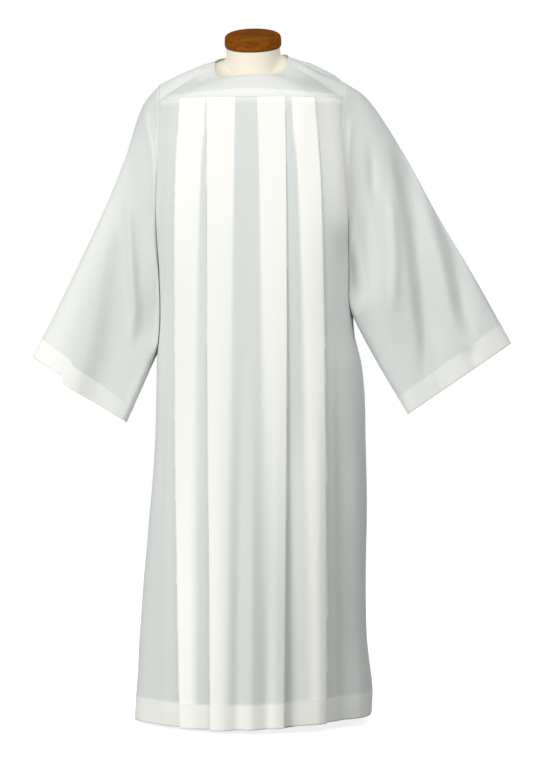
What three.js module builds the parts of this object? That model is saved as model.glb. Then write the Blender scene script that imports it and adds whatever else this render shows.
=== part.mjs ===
// A long white alb standing on a limbless dress form. Millimetres, +Z up, the front faces -Y,
// and the origin is the middle of the round foot's underside.
import * as THREE from 'three';

// ---------------------------------------------------------------- driving dimensions

const CLOTH = 1.0; // wall of every sewn piece
const SEAM_GAP = 0.3; // clearance between neighbouring pieces
const SEAM_Z = 1334; // level of the yoke seam, front and back
const HEM_Z = 6; // the hem hangs just clear of the floor
const HEM_RISE = { by: 12, fromX: -100, toX: 200, fade: 208 }; // it hangs higher towards +X
const HEM_DEPTH = 52; // turned-up hem
const CUFF_HEM_START = 0.925; // share of the sleeve's run where the cuff hem begins

// Half-widths and depths of the skirt without its pleats, level by level.
const BODY = [
  { z: HEM_Z, left: 259, right: 260, front: 164, back: 158, power: 2.3 },
  { z: 260, left: 243, right: 250, front: 156, back: 148, power: 2.3 },
  { z: 500, left: 224, right: 245, front: 149, back: 139, power: 2.35 },
  { z: 720, left: 217, right: 240, front: 142, back: 131, power: 2.4 },
  { z: 870, left: 214, right: 222, front: 137, back: 126, power: 2.5 },
  { z: 1000, left: 212, right: 213, front: 134, back: 123, power: 2.6 },
  { z: 1180, left: 208, right: 206, front: 129, back: 119, power: 2.8 },
  { z: SEAM_Z, left: 203, right: 200, front: 122, back: 115, power: 2.9 },
];

// Distance between the stacked layers of a pleat, which open towards the hem.
const PLEAT_SPREAD = [
  { z: HEM_Z, gap: 8.5, share: 0.62 },
  { z: 400, gap: 5.2, share: 0.75 },
  { z: 800, gap: 3.0, share: 0.88 },
  { z: 1150, gap: 1.8, share: 0.96 },
  { z: SEAM_Z, gap: CLOTH + SEAM_GAP, share: 1 },
];

// Knife pleats: where each fold edge runs, which way it faces, and how deep its underlay is.
const FRONT_PLEATS = [
  { faces: -1, top: -148, chest: -158, hip: -159, low: -151, hem: -144, underlay: 57 },
  { faces: -1, top: -89, chest: -88, hip: -86, low: -80, hem: -77, underlay: 59 },
  { faces: 1, top: 76, chest: 79, hip: 81, low: 80, hem: 79, underlay: 59 },
  { faces: 1, top: 138, chest: 152, hip: 160, low: 163, hem: 164, underlay: 50 },
];
const BACK_PLEATS = [
  { faces: -1, top: -138, chest: -146, hip: -151, low: -150, hem: -147, underlay: 54 },
  { faces: -1, top: -78, chest: -80, hip: -83, low: -86, hem: -88, underlay: 58 },
  { faces: 1, top: 76, chest: 78, hip: 80, low: 81, hem: 84, underlay: 58 },
  { faces: 1, top: 136, chest: 145, hip: 152, low: 156, hem: 158, underlay: 54 },
];
const LARGEST_TURN = 4; // radius of a pleat's fold where the layers stand far apart
const BESIDE_PLEAT = 2; // the side cloth ends this far from the outermost fold edge
const PLEAT_LEVELS = { hem: HEM_Z, low: 300, hip: 690, chest: 1130, top: SEAM_Z };

// Armhole: an ellipse in Y and Z, laid on the side of the body.
const ARMHOLE = { centreZ: 1207.5, halfHeight: 167.5, halfDepth: 75 };

// Neckline ring, squarish and a little lower on one side.
const NECKLINE = { left: 84, right: 76, front: 90, back: 62, power: 2.9 };
const NECK_LEVELS = { front: 1380, side: 1431, back: 1444, lean: 4 };
const YOKE_BULGE = 7; // how far the shoulder cloth rounds outward between neck and seam
const YOKE_LIFT = 2.6; // the yoke edge meets the pleats at the middle of their stack
const SHOULDER_SEAM = { atNeck: 38, atArm: 13 }; // degrees in front of the side
const NECK_CORNER = 1.15; // how soon the neckline drops from its sides to its front and back
const SEAM_DRAW = 0.7 * SEAM_GAP; // each yoke draws back this far from a shoulder seam
const UNDER_YOKE = 1.5 * CLOTH + 2.5 * SEAM_GAP; // yoke middle down to the dress form

// Sleeve runs, from the armhole to the cuff: the outer fold, the inner fold, and the
// fullness in front and behind.
const RIGHT_SLEEVE = [
  { run: 0, outX: -203, outZ: 1375, inX: -213, inZ: 1040, midY: 0, front: 75, back: 75 },
  { run: 0.12, outX: -241, outZ: 1327, inX: -222, inZ: 985, midY: -1, front: 71, back: 66 },
  { run: 0.3, outX: -279, outZ: 1212, inX: -231, inZ: 905, midY: -4, front: 61, back: 54 },
  { run: 0.5, outX: -335, outZ: 1078, inX: -232, inZ: 835, midY: -8, front: 52, back: 46 },
  { run: 0.75, outX: -409, outZ: 923, inX: -237, inZ: 752, midY: -10, front: 44, back: 40 },
  { run: 1, outX: -482, outZ: 778, inX: -275, inZ: 652, midY: -10, front: 36, back: 34 },
];
const LEFT_SLEEVE = [
  { run: 0, outX: 200, outZ: 1375, inX: 213, inZ: 1040, midY: 0, front: 75, back: 75 },
  { run: 0.12, outX: 250, outZ: 1338, inX: 225, inZ: 1000, midY: -1, front: 71, back: 66 },
  { run: 0.3, outX: 322, outZ: 1228, inX: 234, inZ: 945, midY: -4, front: 60, back: 54 },
  { run: 0.5, outX: 397, outZ: 1090, inX: 240, inZ: 885, midY: -8, front: 52, back: 46 },
  { run: 0.75, outX: 479, outZ: 951, inX: 277, inZ: 778, midY: -10, front: 44, back: 40 },
  { run: 1, outX: 555, outZ: 814, inX: 335, inZ: 663, midY: -10, front: 36, back: 34 },
];

// The largest sleeve folds: a line from one place to another, across = 0 at the outer fold
// and 1 at the inner fold, with depth in (negative) or out (positive).
const RIGHT_FOLDS = [
  { face: 1, run0: 0.1, across0: 0.62, run1: 0.95, across1: 0.62, width: 0.1, depth: -14 },
  { face: 1, run0: 0.05, across0: 0.42, run1: 0.6, across1: 0.45, width: 0.1, depth: 9 },
  { face: -1, run0: 0.1, across0: 0.55, run1: 0.9, across1: 0.6, width: 0.12, depth: -12 },
];
const LEFT_FOLDS = [
  { face: 1, run0: 0.1, across0: 0.5, run1: 0.85, across1: 0.58, width: 0.1, depth: -14 },
  { face: 1, run0: 0.25, across0: 0.25, run1: 0.95, across1: 0.28, width: 0.09, depth: -11 },
  { face: -1, run0: 0.1, across0: 0.5, run1: 0.9, across1: 0.55, width: 0.12, depth: -12 },
];

const FOLD_TAPER = 0.7; // how a fold fades towards its ends
const ARMHOLE_EASE = 0.2; // share of the run over which the armhole's shape fades
const FOLD_EASE = 0.1; // the folds grow over this share of the run

// Dress form below the shoulders, and the stand under it.
const FORM = [
  { z: 712, left: 88, right: 88, front: 78, back: 74, power: 2.2 },
  { z: 722, left: 118, right: 118, front: 96, back: 92, power: 2.3 },
  { z: 780, left: 150, right: 150, front: 106, back: 102, power: 2.3 },
  { z: 900, left: 160, right: 160, front: 104, back: 104, power: 2.3 },
  { z: 1020, left: 154, right: 154, front: 100, back: 96, power: 2.3 },
  { z: 1150, left: 168, right: 168, front: 108, back: 102, power: 2.4 },
  { z: 1260, left: 182, right: 182, front: 112, back: 104, power: 2.6 },
  { z: 1316, left: 192, right: 190, front: 117, back: 108, power: 2.8 },
];
const NECK = { halfWidth: 59, halfDepth: 57, footLift: 12, topZ: 1457, lean: 22, least: 4 };
const CAP = { radius: 61.5, foot: 57.8, crown: 59.7, rim: 10, dome: 16, lift: 0.4, chamfer: 3 };
const POLE = { radius: 16, collarRadius: 24, collarHeight: 30 };
const BASE = { radius: 130, edge: 7, bevel: 3, slope: 4, slopeRadius: 56, boss: 26, bossRadius: 34,
  bossEdge: 5 };

// How finely the walls are cut up.
const SIDE_STEPS = 5;
const CENTRE_STEPS = 2;
const SLEEVE_AROUND = 24;
const SLEEVE_RUNS = [0, 0.05, 0.13, 0.24, 0.36, 0.49, 0.62, 0.75, 0.85, CUFF_HEM_START, 0.962, 1];
const FRONT_SPANS = 16; // shoulder cloth: spans across the front, and round the back
const BACK_SPANS = 28;
const YOKE_RUNS = [0.006, 0.2, 0.42, 0.64, 0.82, 1]; // 0.006 keeps it clear of the panels
const FACING_RUNS = [0.64, 0.82, 1];
const FORM_RUNS = [0.2, 0.42, 0.64, 0.82, 1];
const CROWN_STEPS = 7;
const TURNED_SIDES = { cap: 40, pole: 24, base: 44 };
const SKIRT_LEVELS = [230, 480, 730, 940]; // rows between the hem and the armhole

// Colours and finishes.
const FINISH = {
  cloth: { color: 0xe6e9e6, roughness: 0.85, metalness: 0 },
  form: { color: 0xe9e4d6, roughness: 0.9, metalness: 0 },
  wood: { color: 0x8a5014, roughness: 0.32, metalness: 0 },
  steel: { color: 0xb9bbbd, roughness: 0.3, metalness: 1 },
};

// ---------------------------------------------------------------- small helpers

const radians = THREE.MathUtils.degToRad;
const mix = THREE.MathUtils.lerp;
const smooth = (value) => THREE.MathUtils.smoothstep(value, 0, 1);
const vec = (x, y, z) => new THREE.Vector3(x, y, z);
const power = (value, exponent) => Math.sign(value) * Math.abs(value) ** exponent;

// A smooth curve through one column of a table, read at a value of its key column.
function read(table, key, at, column) {
  const last = table.length - 1;
  const rising = table[last][key] > table[0][key];
  let i = 0;
  while (i < last - 1 && (rising ? at > table[i + 1][key] : at < table[i + 1][key])) i += 1;
  const slope = (k) => {
    const a = table[Math.max(k - 1, 0)];
    const b = table[Math.min(k + 1, last)];
    return (b[column] - a[column]) / (b[key] - a[key]);
  };
  const span = table[i + 1][key] - table[i][key];
  const t = THREE.MathUtils.clamp((at - table[i][key]) / span, 0, 1);
  const [t2, t3] = [t * t, t * t * t];
  return (2 * t3 - 3 * t2 + 1) * table[i][column] + (t3 - 2 * t2 + t) * span * slope(i)
    + (3 * t2 - 2 * t3) * table[i + 1][column] + (t3 - t2) * span * slope(i + 1);
}

// The two skins of a wall, from rows of points in its middle; rows may close on themselves.
function skins(grid, shift, closed) {
  const rows = grid.length;
  const columns = grid[0].length;
  const step = (a, b) => b.clone().sub(a).normalize();
  const along = (get, i, count, loops) => {
    const before = loops ? (i + count - 1) % count : Math.max(i - 1, 0);
    const after = loops ? (i + 1) % count : Math.min(i + 1, count - 1);
    const direction = vec(0, 0, 0);
    if (before !== i) direction.add(step(get(before), get(i)));
    if (after !== i) direction.add(step(get(i), get(after)));
    return direction.normalize();
  };
  const normals = grid.map((row, r) => row.map((_, c) => {
    const across = along((k) => grid[r][k], c, columns, closed);
    const up = along((k) => grid[k][c], r, rows, false);
    return across.cross(up).normalize();
  }));
  return [shift + CLOTH / 2, shift - CLOTH / 2].map((offset) => (
    grid.map((row, r) => row.map((point, c) => point.clone().addScaledVector(normals[r][c], offset)))
  ));
}

// One closed body from two skins, with all their open edges joined.
function shell([outer, inner], closed) {
  const rows = outer.length;
  const columns = outer[0].length;
  const positions = [outer, inner].flat(2).flatMap((point) => [...point]);
  const index = [];
  const id = (skin, r, c) => skin * rows * columns + r * columns + (c % columns);
  const quad = (a, b, c, d) => index.push(a, b, c, a, c, d);
  const spans = closed ? columns : columns - 1;
  const [top, end] = [rows - 1, columns - 1];
  for (let r = 0; r < rows - 1; r += 1) {
    for (let c = 0; c < spans; c += 1) {
      quad(id(0, r, c), id(0, r, c + 1), id(0, r + 1, c + 1), id(0, r + 1, c));
      quad(id(1, r, c), id(1, r + 1, c), id(1, r + 1, c + 1), id(1, r, c + 1));
    }
    if (!closed) {
      quad(id(0, r, 0), id(0, r + 1, 0), id(1, r + 1, 0), id(1, r, 0));
      quad(id(0, r + 1, end), id(0, r, end), id(1, r, end), id(1, r + 1, end));
    }
  }
  for (let c = 0; c < spans; c += 1) {
    quad(id(0, 0, c + 1), id(0, 0, c), id(1, 0, c), id(1, 0, c + 1));
    quad(id(0, top, c), id(0, top, c + 1), id(1, top, c + 1), id(1, top, c));
  }
  return outward(positions, index);
}

// A filled body through closed rings, with a fan at each end.
function loft(rings) {
  const columns = rings[0].length;
  const positions = rings.flatMap((ring) => ring.flatMap((point) => [...point]));
  const index = [];
  for (let r = 0; r < rings.length - 1; r += 1) {
    for (let c = 0; c < columns; c += 1) {
      const next = (c + 1) % columns;
      const [a, b] = [r * columns + c, r * columns + next];
      index.push(a, b, b + columns, a, b + columns, a + columns);
    }
  }
  for (const [r, turned] of [[0, true], [rings.length - 1, false]]) {
    const middle = rings[r].reduce((sum, point) => sum.add(point), vec(0, 0, 0));
    positions.push(...middle.divideScalar(columns));
    const hub = positions.length / 3 - 1;
    for (let c = 0; c < columns; c += 1) {
      const [a, b] = [r * columns + c, r * columns + ((c + 1) % columns)];
      index.push(...(turned ? [b, a, hub] : [a, b, hub]));
    }
  }
  return outward(positions, index);
}

// A geometry whose faces all point out.
function outward(positions, index) {
  const corner = (k) => vec(...positions.slice(3 * index[k], 3 * index[k] + 3));
  let volume = 0;
  for (let i = 0; i < index.length; i += 3) {
    volume += corner(i).dot(corner(i + 1).cross(corner(i + 2)));
  }
  if (volume < 0) {
    for (let i = 0; i < index.length; i += 3) {
      [index[i], index[i + 1]] = [index[i + 1], index[i]];
    }
  }
  const geometry = new THREE.BufferGeometry();
  geometry.setAttribute('position', new THREE.Float32BufferAttribute(positions, 3));
  geometry.setIndex(index);
  geometry.computeVertexNormals();
  return geometry;
}

// ---------------------------------------------------------------- the body's own shape

// A point of a squarish oval, from its half-sizes; angle 0 is +X and -90 degrees is the front.
function ovalPoint(oval, angle) {
  const [c, s] = [Math.cos(angle), Math.sin(angle)];
  const wide = c < 0 ? oval.left : oval.right;
  const deep = s < 0 ? oval.front : oval.back;
  return { x: wide * power(c, 2 / oval.power), y: deep * power(s, 2 / oval.power) };
}

function bodyOval(z) {
  const column = (name) => read(BODY, 'z', z, name);
  return {
    left: column('left'), right: column('right'), front: column('front'),
    back: column('back'), power: column('power'),
  };
}

// Depth of the oval's front or back at a distance x from the middle.
function ovalDepth(oval, x, facing) {
  const wide = x < 0 ? oval.left : oval.right;
  const deep = facing < 0 ? oval.front : oval.back;
  return facing * deep * (1 - Math.min(Math.abs(x) / wide, 1) ** oval.power) ** (1 / oval.power);
}

// Half-width of the oval at a distance y from the middle, on one side.
function ovalReach(oval, y, side) {
  const wide = side < 0 ? oval.left : oval.right;
  const deep = y < 0 ? oval.front : oval.back;
  return side * wide * (1 - Math.min(Math.abs(y) / deep, 1) ** oval.power) ** (1 / oval.power);
}

// The hole cut in the body: larger than the sleeve's end all round, by half a wall and a gap.
const CUT = {
  halfHeight: ARMHOLE.halfHeight + CLOTH / 2 + SEAM_GAP,
  halfDepth: ARMHOLE.halfDepth + CLOTH / 2 + SEAM_GAP,
};

// How far forward or back the panels' edges stand at a level; a seam gap below the armhole.
function edgeDepth(z) {
  const rise = (z - ARMHOLE.centreZ) / CUT.halfHeight;
  return Math.max(CUT.halfDepth * Math.sqrt(Math.max(0, 1 - rise * rise)), SEAM_GAP);
}

// Height of the armhole's upper arch over a distance y, never under the yoke seam.
function archHeight(y) {
  const share = Math.min(Math.abs(y) / ARMHOLE.halfDepth, 1);
  const arch = ARMHOLE.centreZ + ARMHOLE.halfHeight * Math.sqrt(1 - share * share);
  return Math.max(SEAM_Z, arch);
}

// ---------------------------------------------------------------- pleated panels

function pleatEdge(pleat, z) {
  const rows = Object.entries(PLEAT_LEVELS).map(([name, level]) => ({ z: level, x: pleat[name] }));
  return read(rows, 'z', z, 'x');
}

// The folded line of the cloth across the panel: x, and how many layers out it lies.
function pleatPath(pleats, z) {
  const gap = read(PLEAT_SPREAD, 'z', z, 'gap');
  const share = read(PLEAT_SPREAD, 'z', z, 'share');
  const path = [];
  const turn = (x, heading, from, to) => {
    const round = Math.min(gap / 2, LARGEST_TURN);
    path.push({ x: x - heading * round, level: from });
    path.push({ x, level: (from + to) / 2 });
    path.push({ x: x - heading * round, level: to });
  };
  let level = 0;
  for (const pleat of pleats.filter((item) => item.faces < 0)) {
    const edge = pleatEdge(pleat, z);
    turn(edge + pleat.underlay * share, 1, level, level + 1);
    turn(edge, -1, level + 1, level + 2);
    level += 2;
  }
  const from = path[path.length - 1].x;
  const right = pleats.filter((item) => item.faces > 0);
  const to = pleatEdge(right[0], z);
  for (let k = 1; k <= CENTRE_STEPS; k += 1) {
    path.push({ x: mix(from, to, k / (CENTRE_STEPS + 1)), level });
  }
  for (const pleat of right) {
    const edge = pleatEdge(pleat, z);
    turn(edge, 1, level, level - 1);
    turn(edge - pleat.underlay * share, -1, level - 1, level - 2);
    level -= 2;
  }
  return { path, gap };
}

// How much higher the hem hangs at x; the lift dies out a little above the hem.
function hemLift(x, z) {
  const { by, fromX, toX } = HEM_RISE;
  const up = smooth((z - HEM_Z - HEM_DEPTH) / HEM_RISE.fade);
  return by * smooth((x - fromX) / (toX - fromX)) * (1 - up);
}

// One row of the panel: side cloth from the seam or armhole, the pleats, and side cloth again.
function panelRow(pleats, facing, z) {
  const oval = bodyOval(z);
  const { path, gap } = pleatPath(pleats, z);
  const outline = (side, startX) => {
    const wide = side < 0 ? oval.left : oval.right;
    const deep = facing < 0 ? oval.front : oval.back;
    const first = Math.asin((edgeDepth(z) / deep) ** (oval.power / 2));
    const last = Math.acos(Math.min(Math.abs(startX) / wide, 1) ** (oval.power / 2));
    return Array.from({ length: SIDE_STEPS }, (_, k) => {
      const angle = mix(first, last, k / SIDE_STEPS);
      const x = side * wide * Math.cos(angle) ** (2 / oval.power);
      const y = facing * deep * Math.sin(angle) ** (2 / oval.power);
      return vec(x, y, z);
    });
  };
  const leftSide = outline(-1, pleatEdge(pleats[0], z) - BESIDE_PLEAT);
  const lastEdge = pleatEdge(pleats[pleats.length - 1], z);
  const rightSide = outline(1, lastEdge + BESIDE_PLEAT).reverse();
  const middle = path.map(({ x, level }) => (
    vec(x, ovalDepth(oval, x, facing) + facing * level * gap, z)
  ));
  const row = [...leftSide, ...middle, ...rightSide];
  row.forEach((point) => { point.z += hemLift(point.x, z); });
  return row;
}

// Levels of the panel's rows: the hem, the skirt, and one for each point of the armhole.
const armholeLevels = Array.from({ length: SLEEVE_AROUND / 2 - 2 }, (_, k) => (
  ARMHOLE.centreZ - CUT.halfHeight * Math.cos((k / SLEEVE_AROUND) * 2 * Math.PI)
));
const hemLevels = [HEM_Z, HEM_Z + HEM_DEPTH];
const skirtLevels = [...hemLevels, ...SKIRT_LEVELS, ...armholeLevels, SEAM_Z - SEAM_GAP];
const INSIDE = -(CLOTH + SEAM_GAP); // a second layer lies this far inside the first

function panel(pleats, facing, levels, shift) {
  const rows = levels.map((z) => panelRow(pleats, facing, z));
  return shell(skins(rows, -facing * shift, false), false);
}

// ---------------------------------------------------------------- yokes, neck and form

// The shoulder cloth: run 0 is its outer edge, run 1 the neckline.
function shoulderPoint(angle, run) {
  const low = bodyOval(SEAM_Z);
  const outer = ovalPoint({ ...low, front: low.front + YOKE_LIFT, back: low.back + YOKE_LIFT }, angle);
  const inner = ovalPoint(NECKLINE, angle);
  const neckDepth = inner.y < 0 ? NECKLINE.front : NECKLINE.back;
  const frontness = smooth((Math.abs(inner.y) / neckDepth) * NECK_CORNER);
  const level = inner.y < 0 ? NECK_LEVELS.front : NECK_LEVELS.back;
  const innerZ = mix(NECK_LEVELS.side, level, frontness) + (NECK_LEVELS.lean * inner.x) / NECKLINE.right;
  const bulge = YOKE_BULGE * Math.sin(Math.PI * run);
  return vec(
    mix(outer.x, inner.x, run),
    mix(outer.y, inner.y, run),
    mix(archHeight(outer.y), innerZ, run) + bulge,
  );
}

// Points round the shoulder cloth. Point 0 and point FRONT_SPANS lie on the two forward
// shoulder seams, which swing forward on their way from the arm to the neck.
function shoulderRing(run) {
  const swing = radians(mix(SHOULDER_SEAM.atArm, SHOULDER_SEAM.atNeck, run));
  return Array.from({ length: FRONT_SPANS + BACK_SPANS }, (_, k) => (
    k < FRONT_SPANS
      ? mix(-Math.PI + swing, -swing, k / FRONT_SPANS)
      : mix(-swing, Math.PI + swing, (k - FRONT_SPANS) / BACK_SPANS)
  ));
}

const shoulderRows = (runs) => runs.map((run) => (
  shoulderRing(run).map((angle) => shoulderPoint(angle, run))
));

// Part of the shoulder cloth, from one seam to the other, drawn back half a gap at each.
function yoke(from, spans) {
  const ring = FRONT_SPANS + BACK_SPANS;
  const drawn = (a, b) => a.clone().addScaledVector(b.clone().sub(a).normalize(), SEAM_DRAW);
  const cut = skins(shoulderRows(YOKE_RUNS), 0, true).map((skin) => skin.map((row) => {
    const part = Array.from({ length: spans + 1 }, (_, k) => row[(from + k) % ring]);
    return [drawn(part[0], part[1]), ...part.slice(1, -1), drawn(part[spans], part[spans - 1])];
  }));
  return shell(cut, false);
}

const neckFacing = () => shell(skins(shoulderRows(FACING_RUNS), INSIDE, true), true);

function dressForm() {
  const torso = FORM.map((row) => shoulderRing(0).map((angle) => {
    const { x, y } = ovalPoint(row, angle);
    return vec(x, y, row.z);
  }));
  const shoulders = skins(shoulderRows(FORM_RUNS), CLOTH / 2 - UNDER_YOKE, true)[1];
  const foot = shoulders[shoulders.length - 1];
  const neck = [0, 1].map((rise) => foot.map((point) => {
    const angle = Math.atan2(point.y, point.x);
    const x = NECK.halfWidth * Math.cos(angle);
    const y = NECK.halfDepth * Math.sin(angle);
    const topZ = NECK.topZ + (NECK.lean * y) / NECK.halfDepth;
    return vec(x, y, rise ? topZ : Math.min(point.z + NECK.footLift, topZ - NECK.least));
  }));
  return loft([...torso, ...shoulders, ...neck]);
}

// ---------------------------------------------------------------- sleeves

// The armhole as a loop: 0 is the shoulder tip, a quarter turn is the front.
function armholePoint(side, turn) {
  const y = -ARMHOLE.halfDepth * Math.sin(turn);
  const z = ARMHOLE.centreZ + ARMHOLE.halfHeight * Math.cos(turn);
  const reach = ovalReach(bodyOval(Math.min(z, SEAM_Z)), y, side);
  return vec(reach + side * (CLOTH + SEAM_GAP), y, z);
}

function sleeveSection(table, run, turn) {
  const column = (name) => read(table, 'run', run, name);
  const [c, s] = [Math.cos(turn), Math.sin(turn)];
  const share = (1 - c) / 2;
  const deep = s > 0 ? column('front') : column('back');
  return vec(
    mix(column('outX'), column('inX'), share),
    column('midY') - deep * s,
    mix(column('outZ'), column('inZ'), share),
  );
}

function foldDepth(folds, run, turn) {
  const face = Math.sin(turn) >= 0 ? 1 : -1;
  const across = (1 - Math.cos(turn)) / 2;
  let depth = 0;
  for (const fold of folds.filter((item) => item.face === face)) {
    const t = (run - fold.run0) / (fold.run1 - fold.run0);
    if (t > 0 && t < 1) {
      const off = (across - mix(fold.across0, fold.across1, t)) / fold.width;
      depth += fold.depth * Math.exp(-off * off) * Math.sin(Math.PI * t) ** FOLD_TAPER;
    }
  }
  return { depth, face };
}

function sleevePoint(side, table, folds, run, turn) {
  const point = sleeveSection(table, run, turn);
  const start = armholePoint(side, turn).sub(sleeveSection(table, 0, turn));
  point.addScaledVector(start, 1 - smooth(run / ARMHOLE_EASE));
  const { depth, face } = foldDepth(folds, run, turn);
  point.y -= face * depth * smooth(run / FOLD_EASE);
  return point;
}

function sleeve(side, table, folds, runs, shift) {
  const rows = runs.map((run) => Array.from({ length: SLEEVE_AROUND }, (_, k) => (
    sleevePoint(side, table, folds, run, (k / SLEEVE_AROUND) * 2 * Math.PI)
  )));
  return shell(skins(rows, side * shift, true), true);
}

const cuffRuns = SLEEVE_RUNS.slice(-3);

// ---------------------------------------------------------------- cap and stand

function lathe(profile, segments) {
  const points = profile.map(([radius, z]) => new THREE.Vector2(radius, z));
  return new THREE.LatheGeometry(points, segments).rotateX(Math.PI / 2);
}

function neckCap() {
  const { radius, foot, crown, rim, dome, chamfer } = CAP;
  const curve = Array.from({ length: CROWN_STEPS }, (_, k) => {
    const angle = (k / CROWN_STEPS) * (Math.PI / 2);
    return [crown * Math.cos(angle), rim + dome * Math.sin(angle)];
  });
  return lathe([[0, 0], [foot, 0], [radius, chamfer], [radius, rim - chamfer],
    ...curve, [0, rim + dome]], TURNED_SIDES.cap);
}

function standPole() {
  const top = FORM[0].z - SEAM_GAP;
  const foot = BASE.boss + SEAM_GAP;
  const { radius, collarRadius, collarHeight } = POLE;
  return lathe([[0, foot], [radius, foot], [radius, top - collarHeight],
    [collarRadius, top - collarHeight], [collarRadius, top], [0, top]], TURNED_SIDES.pole);
}

function standBase() {
  const { radius, edge, bevel, slope, slopeRadius, boss, bossRadius, bossEdge } = BASE;
  return lathe([[0, 0], [radius, 0], [radius, edge - bevel], [radius - bevel, edge],
    [slopeRadius, edge + slope], [bossRadius, boss - bossEdge], [bossRadius - bossEdge, boss],
    [0, boss]], TURNED_SIDES.base);
}

// ---------------------------------------------------------------- the whole

const alb = new THREE.Group();

function add(name, geometry, finish) {
  const mesh = new THREE.Mesh(geometry, new THREE.MeshStandardMaterial(finish));
  mesh.name = name;
  alb.add(mesh);
  return mesh;
}

add('front_panel', panel(FRONT_PLEATS, -1, skirtLevels, 0), FINISH.cloth);
add('back_panel', panel(BACK_PLEATS, 1, skirtLevels, 0), FINISH.cloth);
add('front_hem', panel(FRONT_PLEATS, -1, hemLevels, INSIDE), FINISH.cloth);
add('back_hem', panel(BACK_PLEATS, 1, hemLevels, INSIDE), FINISH.cloth);
add('front_yoke', yoke(0, FRONT_SPANS), FINISH.cloth);
add('back_yoke', yoke(FRONT_SPANS, BACK_SPANS), FINISH.cloth);
add('neck_facing', neckFacing(), FINISH.cloth);
add('right_sleeve', sleeve(-1, RIGHT_SLEEVE, RIGHT_FOLDS, SLEEVE_RUNS, 0), FINISH.cloth);
add('left_sleeve', sleeve(1, LEFT_SLEEVE, LEFT_FOLDS, SLEEVE_RUNS, 0), FINISH.cloth);
add('right_cuff_hem', sleeve(-1, RIGHT_SLEEVE, RIGHT_FOLDS, cuffRuns, INSIDE), FINISH.cloth);
add('left_cuff_hem', sleeve(1, LEFT_SLEEVE, LEFT_FOLDS, cuffRuns, INSIDE), FINISH.cloth);
add('dress_form', dressForm(), FINISH.form);
const cap = add('neck_cap', neckCap(), FINISH.wood);
cap.rotation.x = Math.atan2(NECK.lean, NECK.halfDepth);
cap.position.set(0, 0, NECK.topZ + CAP.lift);
add('stand_pole', standPole(), FINISH.steel);
add('stand_base', standBase(), FINISH.steel);

export default alb;
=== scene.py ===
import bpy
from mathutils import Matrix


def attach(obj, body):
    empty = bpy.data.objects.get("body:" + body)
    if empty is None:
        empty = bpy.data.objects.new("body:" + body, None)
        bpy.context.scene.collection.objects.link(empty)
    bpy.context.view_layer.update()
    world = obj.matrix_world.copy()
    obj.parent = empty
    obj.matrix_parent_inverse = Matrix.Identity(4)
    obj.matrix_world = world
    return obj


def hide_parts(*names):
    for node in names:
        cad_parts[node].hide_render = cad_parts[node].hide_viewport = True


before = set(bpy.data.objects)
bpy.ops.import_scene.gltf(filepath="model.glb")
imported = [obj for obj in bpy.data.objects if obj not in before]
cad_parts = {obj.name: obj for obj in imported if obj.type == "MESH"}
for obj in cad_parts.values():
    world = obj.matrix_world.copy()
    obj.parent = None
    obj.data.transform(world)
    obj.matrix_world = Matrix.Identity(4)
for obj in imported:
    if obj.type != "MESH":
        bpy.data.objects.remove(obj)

"""A long white alb, knife pleated under a low yoke, on a limbless dress form.

Every size is in millimetres until a mesh is made. +Z is up and the front faces -Y.
"""
import logging
import math
from dataclasses import dataclass, field
from enum import Enum

import bpy
import numpy as np
from mathutils import Matrix, Vector

LOG = logging.getLogger("alb")
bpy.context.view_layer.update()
METRE = 0.001
ROOT = "root"

SEAM_Z = 1334.0
HEM_Z = 6.0
HEM_DEPTH = 52.0
WALL = 0.55
SEAM_GAP = 0.3
FORM_FOOT_Z = 712.0


class Facing(Enum):
    """Which side of the garment a piece lies on."""

    FRONT = -1
    BACK = 1


class Side(Enum):
    """The wearer's side: the right arm is at -X."""

    RIGHT = -1
    LEFT = 1


# ------------------------------------------------------------------ small helpers


def smooth(value: np.ndarray) -> np.ndarray:
    """Ease from 0 to 1 with flat ends."""
    t = np.clip(value, 0.0, 1.0)
    return t * t * (3.0 - 2.0 * t)


def mix(a: np.ndarray, b: np.ndarray, share: np.ndarray) -> np.ndarray:
    """The value a share of the way from a to b."""
    return a + (b - a) * share


def signed_power(value: np.ndarray, exponent: np.ndarray) -> np.ndarray:
    """A power that keeps the sign of its base."""
    return np.sign(value) * np.abs(value) ** exponent


@dataclass(frozen=True)
class Table:
    """Rows of sizes, read as smooth curves through their first column."""

    names: tuple[str, ...]
    rows: tuple[tuple[float, ...], ...]

    def read(self, at: np.ndarray, name: str) -> np.ndarray:
        """Read one column between the rows.

        Args:
            at: Values of the first column.
            name: The column to read.

        Returns:
            The column's value at each of them.
        """
        keys = np.array([row[0] for row in self.rows], float)
        values = np.array([row[self.names.index(name)] for row in self.rows], float)
        last = len(keys) - 1
        before = np.maximum(np.arange(last + 1) - 1, 0)
        after = np.minimum(np.arange(last + 1) + 1, last)
        slopes = (values[after] - values[before]) / (keys[after] - keys[before])
        at = np.asarray(at, float)
        i = np.clip(np.searchsorted(keys, at, side="left") - 1, 0, last - 1)
        span = keys[i + 1] - keys[i]
        t = np.clip((at - keys[i]) / span, 0.0, 1.0)
        t2, t3 = t * t, t * t * t
        return ((2 * t3 - 3 * t2 + 1) * values[i] + (t3 - 2 * t2 + t) * span * slopes[i]
                + (3 * t2 - 2 * t3) * values[i + 1] + (t3 - t2) * span * slopes[i + 1])


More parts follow.
